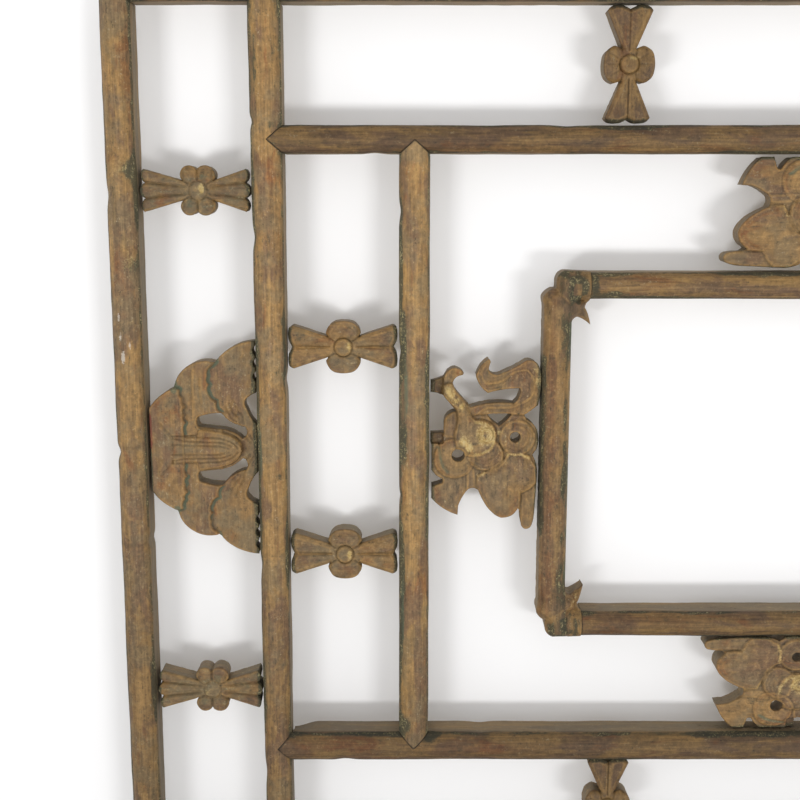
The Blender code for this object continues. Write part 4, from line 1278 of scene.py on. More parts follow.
# %% Ribbons
# Cuts along a ribbon: share of its half width, width, depth, and the dark of dirt and painted shade in the
# cut
BOW_CUTS = {
    "lobed": (
        (-0.36, 1.4, 0.9, 0.42), (0.36, 1.4, 0.9, 0.42), (-0.12, 0.8, 0.3, 0.25), (0.12, 0.8, 0.3, 0.25),
    ),
    "broad": ((-0.1, 0.9, 0.5, 0.35), (0.1, 0.9, 0.5, 0.35)),
    "upright": ((0.0, 0.8, 0.8, 0.7),),
}


def bow_ribbons(face, kind, room, lengths):
    """Cut, ridge and chamfer the two ribbons; gives 1 on a ribbon and 0 on the flower."""
    ribbon = smooth(BOW_NECK - 1.5, BOW_NECK + 0.5, np.abs(face.p))
    for way, length in lengths:
        for share, width, depth, cut_dirt_and_shade in BOW_CUTS[kind]:
            cut_dirt_and_shade = cut_dirt_and_shade * 1.5 if kind == "upright" and way < 0 else cut_dirt_and_shade * 0.8
            face.groove(ribbon_line(kind, way, length, share), width, depth, cut_dirt_and_shade)
    if kind == "broad":
        for way, length in lengths:
            face.ridge(ribbon_line(kind, way, length, 0.0, stop=4.5), 0.8, 0.6)
    spread = np.clip((np.abs(face.p) - BOW_NECK) / 22.0, 0, 1)
    half = BOW_NECK_HALF[kind] + spread * (BOW_RIBBON_HALF - BOW_NECK_HALF[kind])
    across = np.abs(face.q) / half
    if kind == "lobed":
        leaf = np.abs((across * 1.4 + 0.5) % 1.0 - 0.5) * 2
        face.height += ribbon * 0.7 * (1 - leaf ** 2) * (0.4 + 0.6 * spread)
    else:
        face.height -= ribbon * 0.5 * np.sin(np.pi * np.clip(across, 0, 1))
    chamfer = ribbon * (1 - smooth(0.0, 2.4, room)) * (0.6 if kind == "lobed" else 1.3)
    face.height -= chamfer
    face.mark("worn", 0.8 * ribbon * bell(room, 2.3, 0.6) * (kind != "lobed"))
    return ribbon


print("cuts along each ribbon:", {kind: len(cuts) for kind, cuts in BOW_CUTS.items()})

# %% Petals and boss
SIGNS = (-1, 1)
# Gilding left on the boss of a bow, by its number: middle (p, q) and amount
BOW_GILT = {
    0: (-2.3, 0.8, 1.6),
    1: (3.6, -1.5, 0.5),
    2: (-3.4, 0.6, 1.1),
    3: (-3.0, 0.4, 1.2),
    4: (3.4, 2.2, 0.8),
}


def bow_petals(face, kind, ribbon):
    """Dome the petals, cut their veins and set them off from the ribbons."""
    p, q = face.p, face.q
    petal = (1 - ribbon) * smooth(BOW_BOSS, BOW_BOSS + 1.5, np.hypot(p, q))
    if kind == "lobed":
        dome = 1.6 * np.exp(-(((np.abs(p) - 5.4) / 4.2) ** 2 + ((np.abs(q) - 8.0) / 4.6) ** 2))
        face.groove([(0.4, 6.4), (0.5, 12.6)], 1.0, 1.0, 0.5)
        face.groove([(0.4, -6.4), (0.5, -12.6)], 1.0, 1.0, 0.5)
        for p_way in SIGNS:
            for q_way in SIGNS:
                face.groove([(3.6 * p_way, 5.0 * q_way), (6.6 * p_way, 10.4 * q_way)], 0.7, 0.3, 0.3)
        face.spot("green", -3.6, 8.0, 4.2, 0.46)
        face.spot("green", 4.8, -7.6, 3.6, 0.46)
    elif kind == "broad":
        dome = 1.3 * np.exp(-((p / 8.0) ** 2 + ((np.abs(q) - 9.0) / 5.0) ** 2))
        face.groove([(0.0, 6.0), (-0.4, 12.0)], 0.7, 0.35, 0.35)
        face.groove([(0.0, -6.0), (0.4, -12.0)], 0.7, 0.35, 0.35)
        face.groove(arc_about(0.0, 5.8, 7.6, 20, 160), 0.8, 0.35, 0.3)
    else:
        dome = 1.2 * np.exp(-((p / 7.0) ** 2 + ((np.abs(q) - 9.0) / 5.0) ** 2))
        for q_way in SIGNS:
            for lean in (-0.55, 0.0, 0.5):
                start = (5.8 * math.sin(lean), 5.8 * math.cos(lean) * q_way)
                end = (12.4 * math.sin(lean), 12.4 * math.cos(lean) * q_way)
                face.groove([start, end], 0.8, 0.4, 0.45)
    face.height += dome * petal
    neck = BOW_NECK_HALF[kind] - 0.6
    for q_way in SIGNS:
        for p_way in SIGNS:
            face.groove([(5.6 * p_way, 3.8 * q_way), (10.4 * p_way, (neck + 1.2) * q_way)], 0.8, 0.8, 0.6)


def bow_boss(face, kind, number):
    """Round the boss, cut a ring about it and leave some gilding on it."""
    radius = np.hypot(face.p, face.q)
    clear = 0.4 if kind == "lobed" else 1.0
    face.height += clear * (1 - smooth(BOW_BOSS - 0.4, BOW_BOSS + 0.3, radius))
    face.height += (0.4 + 0.7 * clear) * np.sqrt(np.clip(1 - (radius / (BOW_BOSS + 0.2)) ** 2, 0, 1))
    ring = circle(0, 0, BOW_BOSS + 0.5)
    face.groove(ring + ring[:1], 0.7, 0.35 * clear, 0.5 * clear)
    face.mark("green", 0.27 * (kind == "lobed"))
    face.mark("worn", 0.8 * bell(radius - BOW_BOSS, -0.8, 0.7) * (kind != "lobed"))
    gilt_p, gilt_q, amount = BOW_GILT.get(number, (0, 0, 0))
    stretch = np.hypot((face.p - gilt_p) / 1.3, (face.q - gilt_q) / 2.6)
    face.mark("gold", amount * bell(stretch, 0.0, 1.0))


print("gilding is left on", len(BOW_GILT), "bosses")

# %% Make a bow
def make_bow(node, kind, ends, place, number):
    """One bow in its place."""
    far, near = ends
    lengths = ((1, near), (-1, far))

    def cut(face, room):
        bow_petals(face, kind, bow_ribbons(face, kind, room, lengths))
        bow_boss(face, kind, number)

    lines = []
    for way, length in lengths:
        for share, *_ in BOW_CUTS[kind]:
            lines.append(ribbon_line(kind, way, length, share, start=BOW_NECK + 1.5, stop=4.2))
    for radius in (BOW_BOSS - 0.35, BOW_BOSS + 0.4):
        ring = circle(0, 0, radius)
        lines.append(ring + ring[:1])
    slot = "bow_z" if "row" in node else "bow_x"
    carve(node, slot, bow_outline(kind, far, near), [], lines, cut, place, number, BOW_SPACING)


print("points of a bow lie", BOW_SPACING, "mm apart")

# %% Make the bows
SIDES = ((-1, "left"), (1, "right"))
BOW_CENTRE_X = {"outer": 366.5, "second": 281.5}
BOW_END_SLACK = {"lobed": 0.0, "broad": 0.16, "upright": 0.25}


def bow_places():
    """Every bow: its node, kind, ribbon lengths and place, worked out from the box of its solid."""
    for side, label in SIDES:
        for column, kind in (("outer", "lobed"), ("second", "broad")):
            for level in ("top", "bottom"):
                node = "bow_{}_{}_{}".format(column, label, level)
                low, high = boxes[node]
                inner, outer = sorted(abs(edge) for edge in (low[0], high[0]))
                x = BOW_CENTRE_X[column]
                slack = BOW_END_SLACK[kind]
                place = placer(side * x, (low[2] + high[2]) / 2, (side, 0), (0, 1))
                yield node, kind, (x - inner + slack, outer - x + slack), place
        for level in ("top", "bottom"):
            node = "bow_row_{}_{}".format(label, level)
            low, high = boxes[node]
            half = (high[2] - low[2]) / 2 + BOW_END_SLACK["upright"]
            middle = (low + high) / 2
            yield node, "upright", (half, half), placer(middle[0], middle[2], (0, 1), (1, 0))


for number, (bow_node, bow_kind, bow_ends, bow_place) in enumerate(bow_places()):
    make_bow(bow_node, bow_kind, bow_ends, bow_place, number)

# %% [markdown]
# ## The bats
#
# A bat spreads its wings over the whole height between two strips: three tiers of wing on each side
# of a tongue-shaped body, whose rounded tip points away from the frame's edge. The wavy ends of the
# tiers lie one over the other like shingles, and green paint is left in the angle below each. Two
# slots pierce the plate beside the body, and arms run in a curve from the inner wings to the tip.
# Each tier is a step in the height of the net along one wavy line, so it stays sharp, as a chisel
# leaves it; a sculpted or displaced surface would round it.

# %% Outline of a bat
BAT_LENGTH = 65.4
BAT_EDGE = 0.3
BAT_SCALLOPS = (61.0, 53.0, 45.0)
BAT_Z = -272.3
BAT_TIER_RISE = 1.3
BAT_SPACING = 0.58


def bat_outline():
    """Three wing lobes on each side of the axis, and the nicks and gaps against the stile."""
    half = [(BAT_LENGTH, 0.0, 0.0), (BAT_LENGTH, 26.0, 0.17), (50.2, 38.2, 0.46), (24.8, 54.0, 0.24)]
    half.append((BAT_EDGE, 67.0, 0.0))
    for middle in BAT_SCALLOPS:
        half += [(BAT_EDGE, middle + 2.8, -0.6), (BAT_EDGE, middle - 2.8, 0.0)]
    half += [(BAT_EDGE, 35.0, -0.15), (6.6, 31.0, -0.3), (6.2, 25.0, -0.12), (BAT_EDGE, 15.0, 0.0)]
    return mirrored_path(half + [(BAT_EDGE, 0.0, 0.0)])


def bat_slot():
    """The pierced slot between the body and the upper wing."""
    return closed_path([
        (35.8, 14.0, 0.35), (35.8, 20.2, 0.1), (21.8, 22.6, -0.2),
        (7.6, 13.4, 0.5), (9.4, 6.2, -0.15), (21.0, 12.4, 0.0),
    ])


# The waves of the first and the second tier, from the outline inwards
BAT_WAVES = (
    [(50.2, 38.6, 0.1), (46.4, 37.2, -0.35), (45.2, 31.8, -0.4), (43.6, 27.0, -0.4), (44.6, 21.6, -0.4),
     (43.4, 16.8, -0.3), (44.6, 10.6, 0.0)],
    [(24.4, 54.4, 0.1), (27.8, 51.2, -0.35), (29.4, 45.6, -0.4), (28.6, 40.4, -0.4), (28.8, 34.8, -0.3),
     (24.4, 30.0, -0.35), (21.4, 22.6, 0.0)],
)


def bat_tier(wave):
    """Loop around everything on the outer side of a wave, on both sides of the axis."""
    far = BAT_LENGTH + 5
    upper = open_path(wave)
    lower = mirror(upper[::-1])
    return [(far, -75.0), (far, 75.0), (upper[0][0], 75.0)] + upper + lower + [(upper[0][0], -75.0)]


print("a bat has", len(bat_outline()), "points round it")

# %% Wings of a bat
BAT_VEINS = (
    [(38.0, 49.0), (38.8, 40.0), (38.2, 30.0), (38.8, 19.0)],
    [(33.6, 44.0), (34.0, 36.0), (33.2, 29.0)],
)
BAT_ARM_CUTS = (
    [(14.5, 31.0, -0.12), (9.0, 20.0, -0.2), (2.4, 5.0, 0.0)],
    [(17.0, 28.6, -0.12), (11.0, 18.6, -0.2), (4.4, 3.4, 0.0)],
    [(19.6, 26.0, -0.1), (12.8, 17.0, -0.15), (7.0, 6.0, 0.0)],
)


def bat_wings(face):
    """Raise the tiers of the wings, vein and paint them, and sink the arms."""
    p, q = face.p, face.q
    for number, wave in enumerate(BAT_WAVES):
        depth = face.step(bat_tier(wave), BAT_TIER_RISE, 0.35)
        clear = np.abs(q) > (9 + 14 * number)
        foot = bell(depth, -0.9, 1.1) * clear
        face.mark("green", foot * (0.7 + 0.5 * ripple(q / 5.0, p / 9.0, number)))
        lip = 0.5 * bell(depth, 1.3, 1.1) - 0.5 * bell(depth, -0.8, 0.7)
        face.height += lip * clear
        face.mark("rust", 0.6 * bell(depth, 0.6, 0.8) * clear)
    for vein in BAT_VEINS:
        face.ridge(vein, 1.2, 0.35)
        face.groove([(a + 1.7, b) for a, b in vein], 1.0, 0.3, 0.3)
    wings = smooth(9.0, 16.0, np.abs(q))
    face.height += wings * (0.55 * ripple(p / 10.0, q / 12.0, 4) + 0.25 * ripple(p / 4.0, q / 7.0, 6))
    face.mark("rust", 0.75 * smooth(0.25, 0.7, ripple(p / 5.0, q / 6.0, 8)) * (p > 46))

    arm = (1 - smooth(12.5, 17.0, p)) * (1 - smooth(22.0, 31.0, np.abs(q)))
    face.height -= 1.6 * arm
    for line in BAT_ARM_CUTS:
        drawn = open_path(line)
        for side in (drawn, mirror(drawn)):
            face.groove(side, 1.0, 0.55, 0.4)


print(len(BAT_WAVES), "steps and", len(BAT_VEINS), "veins on each wing")

# %% Body of a bat
BAT_ARCH = [(35.4, 12.6, 0.04), (26.5, 11.6, 0.05), (18.4, 9.8, 0.1), (12.0, 6.0, 0.2), (9.2, 0.0, 0.0)]
BAT_BODY_LINES = (
    [(52.0, 8.6, 0.0), (35.6, 8.0, 0.0), (23.3, 7.6, 0.06), (15.9, 5.2, 0.1), (11.6, 1.2, 0.0)],
    [(52.0, 7.0, 0.0), (44.0, 5.6, 0.0), (33.0, 5.2, 0.0), (22.1, 4.9, 0.05), (15.6, 2.6, 0.0)],
    [(52.0, 3.2, 0.0), (24.0, 2.7, 0.05), (17.2, 1.2, 0.0)],
)


def bat_arch_half(p):
    """Half the width of the body at a place along it."""
    arch = np.array(open_path(BAT_ARCH, 0.4))[::-1]
    half = np.interp(p, arch[:, 0], arch[:, 1])
    tail = np.interp(p, [35.4, 37.0, 45.0, 52.0], [12.6, 8.6, 8.2, 7.6])
    return np.where(p > 35.4, tail, half)


def bat_body(face):
    """Round the body over the wings and cut the lines along it."""
    p, q = face.p, face.q
    half = bat_arch_half(p)
    share = np.abs(q) / np.maximum(half, 0.1)
    on_body = (1 - smooth(0.96, 1.04, share)) * (p > 9.2)
    for name in ("cut", "worn", "rust"):
        face.masks[name] *= 1 - on_body * (p < 44)
    dome = np.sqrt(np.clip(1 - (share * 0.94) ** 2, 0, 1))
    fade = smooth(40.0, 53.0, p)
    body_height = LAYERED_FACE + (1.7 + 2.7 * dome) * (1 - fade) + 1.9 * fade
    face.height = face.height * (1 - on_body) + np.maximum(body_height, face.height) * on_body
    face.mark("worn", bell(share, 0.95, 0.05) * (p > 9) * (p < 37))
    # The wing at the foot of the body is painted dark: dirt and painted shade
    face.mark("cut", 0.8 * bell(share, 1.06, 0.05) * (p > 9) * (p < 50))
    for line in BAT_BODY_LINES:
        drawn = open_path(line)
        for side in (drawn, mirror(drawn)):
            face.groove(side, 0.9, 0.6, 0.5)
    face.groove([(52.2, -8.4), (51.8, 0.0), (52.2, 8.4)], 0.9, 0.5, 0.35)
    for side in (1, -1):
        tail = open_path([(51.8, 7.6 * side, 0.0), (55.0, 11.0 * side, 0.0), (59.5, 16.5 * side, 0.0)])
        face.groove(tail, 1.1, 0.6, 0.5)


def bat_cut(face, room):
    """The carving of a bat, with red and dark paint at its tip and green in the corner of its wings."""
    bat_wings(face)
    bat_body(face)
    tip = bell(room, 0.0, 1.5) * (face.p > BAT_LENGTH - 3)
    face.mark("red", tip * smooth(-2, 4, face.q) * (1 - smooth(20, 26, face.q)))
    face.mark("dark", 0.5 * tip * (face.q < 2))
    face.mark("green", 0.8 * bell(np.hypot(face.p - 50.0, np.abs(face.q) - 37.5), 0.0, 2.6))


print("half the body is", round(float(bat_arch_half(np.array([26.5]))[0]), 1), "mm wide at its middle")

# %% Make the bats
def make_bats():
    """A bat on each side of the panel."""
    slot = bat_slot()
    holes = [slot, mirror(slot)]
    lines = []
    for wave in BAT_WAVES:
        drawn = open_path(wave)
        for shift in (-0.35, 0.35):
            moved = [(a + shift, b) for a, b in drawn[2:-1]]
            lines += [moved, mirror(moved)]
    for line in BAT_ARM_CUTS:
        drawn = open_path(line)[1:]
        lines += [drawn, mirror(drawn)]
    for line in BAT_BODY_LINES[:2]:
        drawn = open_path(line)
        lines += [drawn, mirror(drawn)]
    for number, (side, label) in enumerate(SIDES):
        node = "bat_" + label
        low, high = boxes[node]
        start = min(abs(low[0]), abs(high[0])) - BAT_EDGE
        place = placer(side * start, BAT_Z, (side, 0), (0, 1))
        carve(node, "bat_z", bat_outline(), holes, lines, bat_cut, place, number + 30,
              BAT_SPACING, LAYERED_FACE)


make_bats()

# %% [markdown]
# ## The butterflies
#
# Each butterfly has a gilded head with a long feeler, a ribbon that folds over it, two curled upper
# wings with round eyes, and plain lower wings with a narrow tail. The outline is one loop, and the
# wings, the collar, the head, the ribbon and the feeler are layers that rise over each other. Fans
# and folds are cut as lines that follow those layers. The two above and below the inner frame are
# hardly seen, so they repeat the same animal with fewer cuts.

# %% Outline of a butterfly
BUTTERFLY_HALF = 33.7
BUTTERFLY_Z = -269.5
# The curled wings and the holes in them: middle (p, q) and radius, right and left
BUTTERFLY_CURLS = ((19.6, 4.4, 11.0), (-19.0, -8.6, 12.4))
BUTTERFLY_EYES = ((18.3, 4.8, 3.2), (-16.6, -6.6, 3.9))
BUTTERFLY_SPACING = 0.56
BUTTERFLY_PLAIN_SPACING = 0.72


def butterfly_outline():
    """Feeler, scrolled ribbon, two curled wings, a pointed wing, a broad wing and a tail, run clockwise."""
    edge = BUTTERFLY_HALF
    feeler = [
        (-edge, 32.3, 0.0), (-edge, 39.0, 0.0), (-26.1, 41.6, 0.0), (-24.8, 43.8, -0.25),
        (-19.0, 47.8, -0.15),
        (-13.9, 45.2, -0.6), (-14.4, 43.2, 0.0), (-16.8, 42.5, 0.25), (-20.1, 38.3, 0.1), (-16.8, 32.2, 0.0),
    ]
    ribbon = [
        (-9.2, 23.6, -0.12), (17.2, 26.0, 0.25), (20.8, 35.2, 0.08), (1.3, 32.4, -0.2), (-6.2, 42.9, -0.2),
        (1.3, 53.3, -0.5), (2.4, 50.6, 0.1), (1.6, 46.5, 0.3), (7.5, 43.8, 0.05), (24.3, 52.4, -0.3),
        (31.4, 50.1, -0.1), (edge, 43.0, 0.0), (edge, 38.0, -0.05), (31.8, 24.8, 0.0), (23.8, 18.6, 0.0),
    ]
    right_side = [
        (25.2, 15.6, -0.2), (31.6, 9.4, -0.15), (31.8, -2.8, 0.0), (29.2, -6.6, -0.15), (32.3, -19.0, 0.0),
        (31.0, -44.1, -0.08), (29.2, -52.2, -0.3), (25.4, -53.9, -0.3), (22.8, -50.4, -0.03),
        (22.0, -42.6, 0.0),
    ]
    lower_wings = [
        (20.8, -40.4, -0.1), (16.6, -44.9, -0.13), (10.4, -46.2, -0.13), (4.4, -42.4, -0.1),
        (-0.4, -36.2, -0.05),
        (-4.0, -28.8, 0.35), (-10.2, -28.4, 0.1), (-16.2, -39.0, 0.0),
        (-16.6, -44.8, -0.15), (-33.0, -34.0, 0.0), (-33.0, -26.6, 0.0), (-26.4, -24.4, 0.25),
        (-26.4, -21.8, -0.15),
    ]
    left_side = [
        (-33.0, -16.0, 0.0), (-33.0, 0.0, 0.0), (-edge, 1.0, 0.0), (-edge, 6.6, 0.0), (-25.4, 7.2, -0.1),
        (-25.0, 16.0, -0.3), (-18.0, 20.8, 0.0), (-26.2, 31.2, 0.0),
    ]
    return closed_path(feeler + ribbon + right_side + lower_wings + left_side)[::-1]


def butterfly_holes():
    """The gap between ribbon and head, and the eyes of the two curled wings."""
    gap = closed_path([(1.3, 19.0, 0.1), (4.0, 15.0, 0.0), (8.4, 11.6, 0.1), (16.0, 19.4, 0.05)])
    return [gap] + [circle(p, q, radius) for p, q, radius in BUTTERFLY_EYES]


print("a butterfly has", len(butterfly_outline()), "points round it")

# %% Layers and lines of a butterfly
BODY = [(-17.6, -2.4, 0.1), (-11.8, -6.6, 0.1), (-1.8, -6.4, 0.1), (4.6, -2.0, 0.14), (6.9, 5.8, 0.14),
        (4.4, 13.0, 0.12), (-3.0, 15.6, 0.0), (-6.4, 15.8, -0.1), (-11.8, 25.2, 0.0), (-15.6, 31.0, 0.0),
        (-19.0, 34.4, 0.1), (-20.6, 38.0, 0.3), (-26.0, 36.8, 0.25), (-26.6, 31.6, 0.1), (-18.6, 23.6, -0.1),
        (-17.2, 13.8, 0.0), (-19.2, 6.6, 0.05)]
COLLAR = [(-10.8, -8.0, 0.15), (-4.4, -15.4, 0.12), (2.6, -15.8, 0.15), (10.9, -9.8, 0.2), (9.6, -1.6, 0.1),
          (5.0, 4.0, 0.0), (-8.0, 0.0, 0.0)]
SMALL_WING = [(-26.4, 5.2, 0.0), (-26.2, 14.0, -0.15), (-23.7, 19.6, -0.15), (-18.2, 21.4, 0.0),
              (-16.8, 14.0, 0.0), (-18.4, 4.0, 0.0)]
WING = [(-4.9, -19.3, 0.0), (0.5, -16.8, -0.05), (7.2, -13.9, 0.0), (11.2, -9.9, 0.1), (13.8, -5.2, 0.15),
        (21.5, -4.6, 0.12), (27.4, -6.8, 0.1), (31.8, -14.0, 0.0), (31.8, -24.0, 0.0), (28.4, -27.6, 0.0),
        (22.4, -30.8, 0.0), (22.2, -35.0, 0.0), (21.2, -46.0, 0.0), (6.0, -52.0, 0.0), (-7.0, -40.0, 0.0)]
RIBBON = [(-12.0, 24.2, 0.0), (-8.6, 18.4, 0.0), (4.0, 19.4, 0.0), (23.0, 18.8, 0.0), (40.0, 24.0, 0.0),
          (40.0, 60.0, 0.0), (-9.0, 60.0, 0.0), (-9.0, 30.0, 0.0)]
STALK = [(-11.4, -12.0, 0.0), (-6.6, -15.4, 0.0), (-5.2, -31.0, 0.0), (-10.8, -31.0, 0.0)]

RIBBON_MIDDLE = [
    (-4.3, 19.8, -0.1), (1.2, 23.6, 0.03), (14.4, 23.6, 0.1), (27.0, 29.4, 0.2), (29.4, 38.0, 0.2),
    (25.0, 46.4, 0.25), (12.0, 41.2, -0.12), (1.6, 38.2, -0.35), (-3.0, 44.6, -0.2), (0.6, 50.6, 0.0),
]
WING_RIM = [
    (20.6, -34.6, -0.12), (15.8, -42.2, -0.12), (10.0, -43.8, -0.12), (1.6, -35.8, -0.08),
    (-2.6, -25.0, 0.0),
]
COLLAR_FOLDS = (
    [(-8.6, -8.8, 0.12), (-1.0, -12.4, 0.14), (7.4, -8.4, 0.16), (9.4, -2.4, 0.0)],
    [(-6.8, -8.2, 0.12), (0.0, -9.6, 0.14), (6.0, -6.2, 0.12), (7.8, -1.6, 0.0)],
    [(-9.6, -11.0, 0.12), (-1.6, -14.4, 0.14), (8.4, -10.6, 0.0)],
)
GREEN_BAND = [(-28.6, -1.6, 0.0), (-27.4, -7.6, 0.05), (-25.9, -13.2, 0.0), (-23.0, -17.2, 0.0)]
RIGHT_CURL = ([(12.0, 19.0, -0.1), (9.2, 11.0, -0.2), (10.6, 1.2, -0.1)],
              [(22.0, 17.0, -0.3), (29.4, 5.8, -0.3), (21.0, -3.6, 0.0)])
print("the body of a butterfly is a loop of", len(closed_path(BODY)), "points")

# %% Raise the layers of a butterfly
def butterfly_layers(face, plain):
    """Raise wings, collar, head and ribbon over each other; gives the depth within the body."""
    floor = face.height.copy()

    def layer(loop, rise, dome=0.0, soft=4.0):
        depth = loop_depth(loop, face.p, face.q, 9.0)
        top = floor + rise + dome * smooth(0.0, soft, depth)
        share = smooth(-0.4, 0.3, depth) * (top > face.height)
        face.height = face.height * (1 - share) + top * share
        # At the foot of each layer the face is painted dark: dirt and painted shade
        face.mark("cut", 0.85 * bell(depth, -0.7, 0.45))
        face.mark("worn", 0.9 * bell(depth, 0.7, 0.6))
        return depth

    layer(closed_path(STALK), 0.3)
    layer(closed_path(SMALL_WING), 0.5, 1.0)
    for p, q, radius in BUTTERFLY_CURLS:
        layer(circle(p, q, radius), 0.9, 0.8)
    layer(closed_path(WING), 1.0, 1.2, 5.0)
    layer(closed_path(COLLAR), 1.9, 0.7)
    body = layer(closed_path(BODY), 2.7, 1.3, 3.5)
    if not plain:
        layer(closed_path(RIBBON), 1.4, 0.3)
    return body


print("the head rises over", 4 + len(BUTTERFLY_CURLS), "layers of wings, stalk and collar")

# %% Cut the wings and the ribbon
def butterfly_wings(face, body):
    """Grooves round the curled wings, folds of the collar, the rim of the broad wing, and their paint."""
    p, q = face.p, face.q
    right_eye, left_eye = BUTTERFLY_EYES
    for radius, depth in ((5.6, 0.35), (8.4, 0.5)):
        face.groove(arc_about(right_eye[0] + 0.6, right_eye[1], radius, -120, 110), 0.9, depth, 0.3)
    band = open_path(GREEN_BAND)
    face.groove(band, 1.4, 0.7, 0.1)
    face.mark("green", 0.5 * bell(line_distance(band, p, q), 0.0, 1.9))
    for radius in (7.0, 10.6):
        face.groove(arc_about(left_eye[0], left_eye[1], radius, 225, 330), 1.1, 0.35, 0.2)
    right_curl, left_curl = BUTTERFLY_CURLS
    beside = body < -1
    curl = np.hypot(p - left_curl[0], q - left_curl[1]) - left_curl[2]
    face.mark("rust", 0.8 * bell(curl, -1.0, 1.2) * beside)
    middle = np.hypot(p - right_curl[0], q - right_curl[1])
    face.mark("green", 0.36 * bell(middle, 0.0, right_curl[2] * 0.8) * beside)
    face.mark("worn", 0.9 * bell(curl, -0.6, 0.8) * (q < -8) * beside)
    face.mark("worn", 0.6 * bell(curl, 2.0 - left_curl[2], 8.0) * beside)
    for fold in COLLAR_FOLDS:
        face.groove(open_path(fold), 0.9, 0.5, 0.3)
    for eye_p, eye_q, eye_radius in BUTTERFLY_EYES:
        face.height -= 0.5 * bell(np.hypot(p - eye_p, q - eye_q), eye_radius + 1.0, 0.9)
    rim = open_path(WING_RIM)
    face.groove(rim, 1.0, 0.35, 0.25)
    face.mark("rust", 0.7 * bell(line_distance(rim, p, q), 1.2, 1.0))
    face.groove([(22.6, -30.0), (22.6, -45.0)], 0.9, 0.6, 0.5)
    face.mark("gold", 0.55 * bell(line_distance([(13.8, -6.2), (21.5, -5.8), (27.0, -8.0)], p, q), 0.0, 1.0))
    face.mark("gold", 0.4 * bell(line_distance([(-4.0, -19.6), (0.8, -17.8)], p, q), 0.0, 1.1))


def butterfly_ribbon(face):
    """The ridge along the ribbon with soft hollows beside it, and the curl of the wing below it."""
    drawn = open_path(RIBBON_MIDDLE)
    face.ridge(drawn, 0.8, 0.35)
    for offset in (-3.0, -1.2, 1.4, 3.0):
        face.groove(parallel(drawn, offset), 0.9, 0.4, 0.3)
    for line in RIGHT_CURL:
        face.groove(open_path(line), 0.9, 0.35, 0.3)
    face.groove(arc_about(-19.0, 42.0, 2.6, -40, 190), 0.9, 0.4, 0.4)
    face.mark("worn", 0.8 * bell(line_distance(drawn, face.p, face.q), 0.0, 0.7))
    for p, q, size in ((31.0, 40.0, 2.6), (30.4, 46.0, 2.2), (8.6, 8.0, 2.2)):
        face.spot("gold", p, q, size, 0.5)


print("the ridge of the ribbon has", len(open_path(RIBBON_MIDDLE)), "points")

# %% Gild the head and finish the cuts
BUTTERFLY_EYE = (0.3, 6.8)
FEELER_LUMPS = ((-22.8, 34.4, 3.0), (-21.6, 31.0, 3.2), (-18.4, 27.8, 2.6), (-15.0, 24.4, 2.2),
                (-13.2, 2.4, 3.4), (-10.0, -1.2, 3.0))


def butterfly_head(face, body, plain):
    """The round eye on the head, and what is left of the gilding on head and feeler."""
    p, q = face.p, face.q
    eye_p, eye_q = BUTTERFLY_EYE
    eye = np.hypot(p - eye_p, q - eye_q)
    head = (body > 0.2) * smooth(-9.0, -5.0, p)
    for radius, depth in ((4.9, 0.6), (2.4, 0.35)):
        face.height -= depth * bell(eye, radius, 0.6) * head
    face.height += 0.5 * bell(eye, 3.7, 0.8) * head
    face.mark("gold", 0.66 * head * bell(eye, 3.6, 3.4))
    face.mark("gold", 0.6 * head * bell(body, 1.4, 1.1))
    if not plain:
        for lump_p, lump_q, size in FEELER_LUMPS:
            face.spot("gold", lump_p, lump_q, size, 0.8)
            face.height += 0.5 * bell(np.hypot(p - lump_p, q - lump_q), 0.0, size * 0.55) * (body > 0)


def butterfly_cut(plain):
    """The carving of a butterfly; a plain one has no ribbon and no gilt lumps."""
    def cut(face, room):
        body = butterfly_layers(face, plain)
        butterfly_wings(face, body)
        if not plain:
            butterfly_ribbon(face)
        butterfly_head(face, body, plain)
        for low_q, high_q in ((31.5, 42.0), (0.4, 7.4)):
            tenon = (face.p < -25.8) & (face.q > low_q) & (face.q < high_q)
            face.height -= 3.2 * smooth(-25.4, -26.4, face.p) * tenon
            # The sunk tenon is painted dark: dirt and painted shade in the recess
            face.mark("cut", 0.8 * tenon)
    return cut


print("the gilt head has", len(FEELER_LUMPS), "lumps on its feeler")

# %% Make the butterflies
def make_butterfly(label, place, number, plain):
    """One butterfly in its place."""
    body = closed_path(BODY)
    lines = [body[40:] + body[:1]] if plain else [body[:30], body[34:70]]
    spacing = BUTTERFLY_PLAIN_SPACING if plain else BUTTERFLY_SPACING
    slot = "butterfly_x" if plain else "butterfly_z"
    carve("butterfly_" + label, slot, butterfly_outline(), butterfly_holes(), lines,
          butterfly_cut(plain), place, number, spacing, LAYERED_FACE)


def make_butterflies():
    """Four butterflies around the inner frame."""
    for number, (side, label) in enumerate(SIDES):
        low, high = boxes["butterfly_" + label]
        place = placer((low[0] + high[0]) / 2, BUTTERFLY_Z, (-side, 0), (0, 1))
        make_butterfly(label, place, number + 40, False)
    low, high = boxes["butterfly_top"]
    make_butterfly("top", placer(0.0, (low[2] + high[2]) / 2, (0, -1), (1, 0)), 42, True)
    low, high = boxes["butterfly_bottom"]
    squeeze = (high[2] - low[2]) / 2 / BUTTERFLY_HALF
    make_butterfly("bottom", placer(0.0, (low[2] + high[2]) / 2, (0, 1), (1, 0), squeeze), 43, True)


make_butterflies()

# %% [markdown]
# ## The stiles of the inner frame
#
# The inner frame has rounded stiles like the others, but each is carved in one piece with the lobed
# corners at its ends and with a small leaf point that curls into the opening. A swept section can't
# do that. So these two are plates as well: their height follows the strip's own round section,
# measured from the nearest edge, and a crease divides each corner into two lobes.

# %% The outline of an inner stile
INNER_X = 152.4
INNER_HALF = 8.5
CORNER_JOINT_X = 133.6
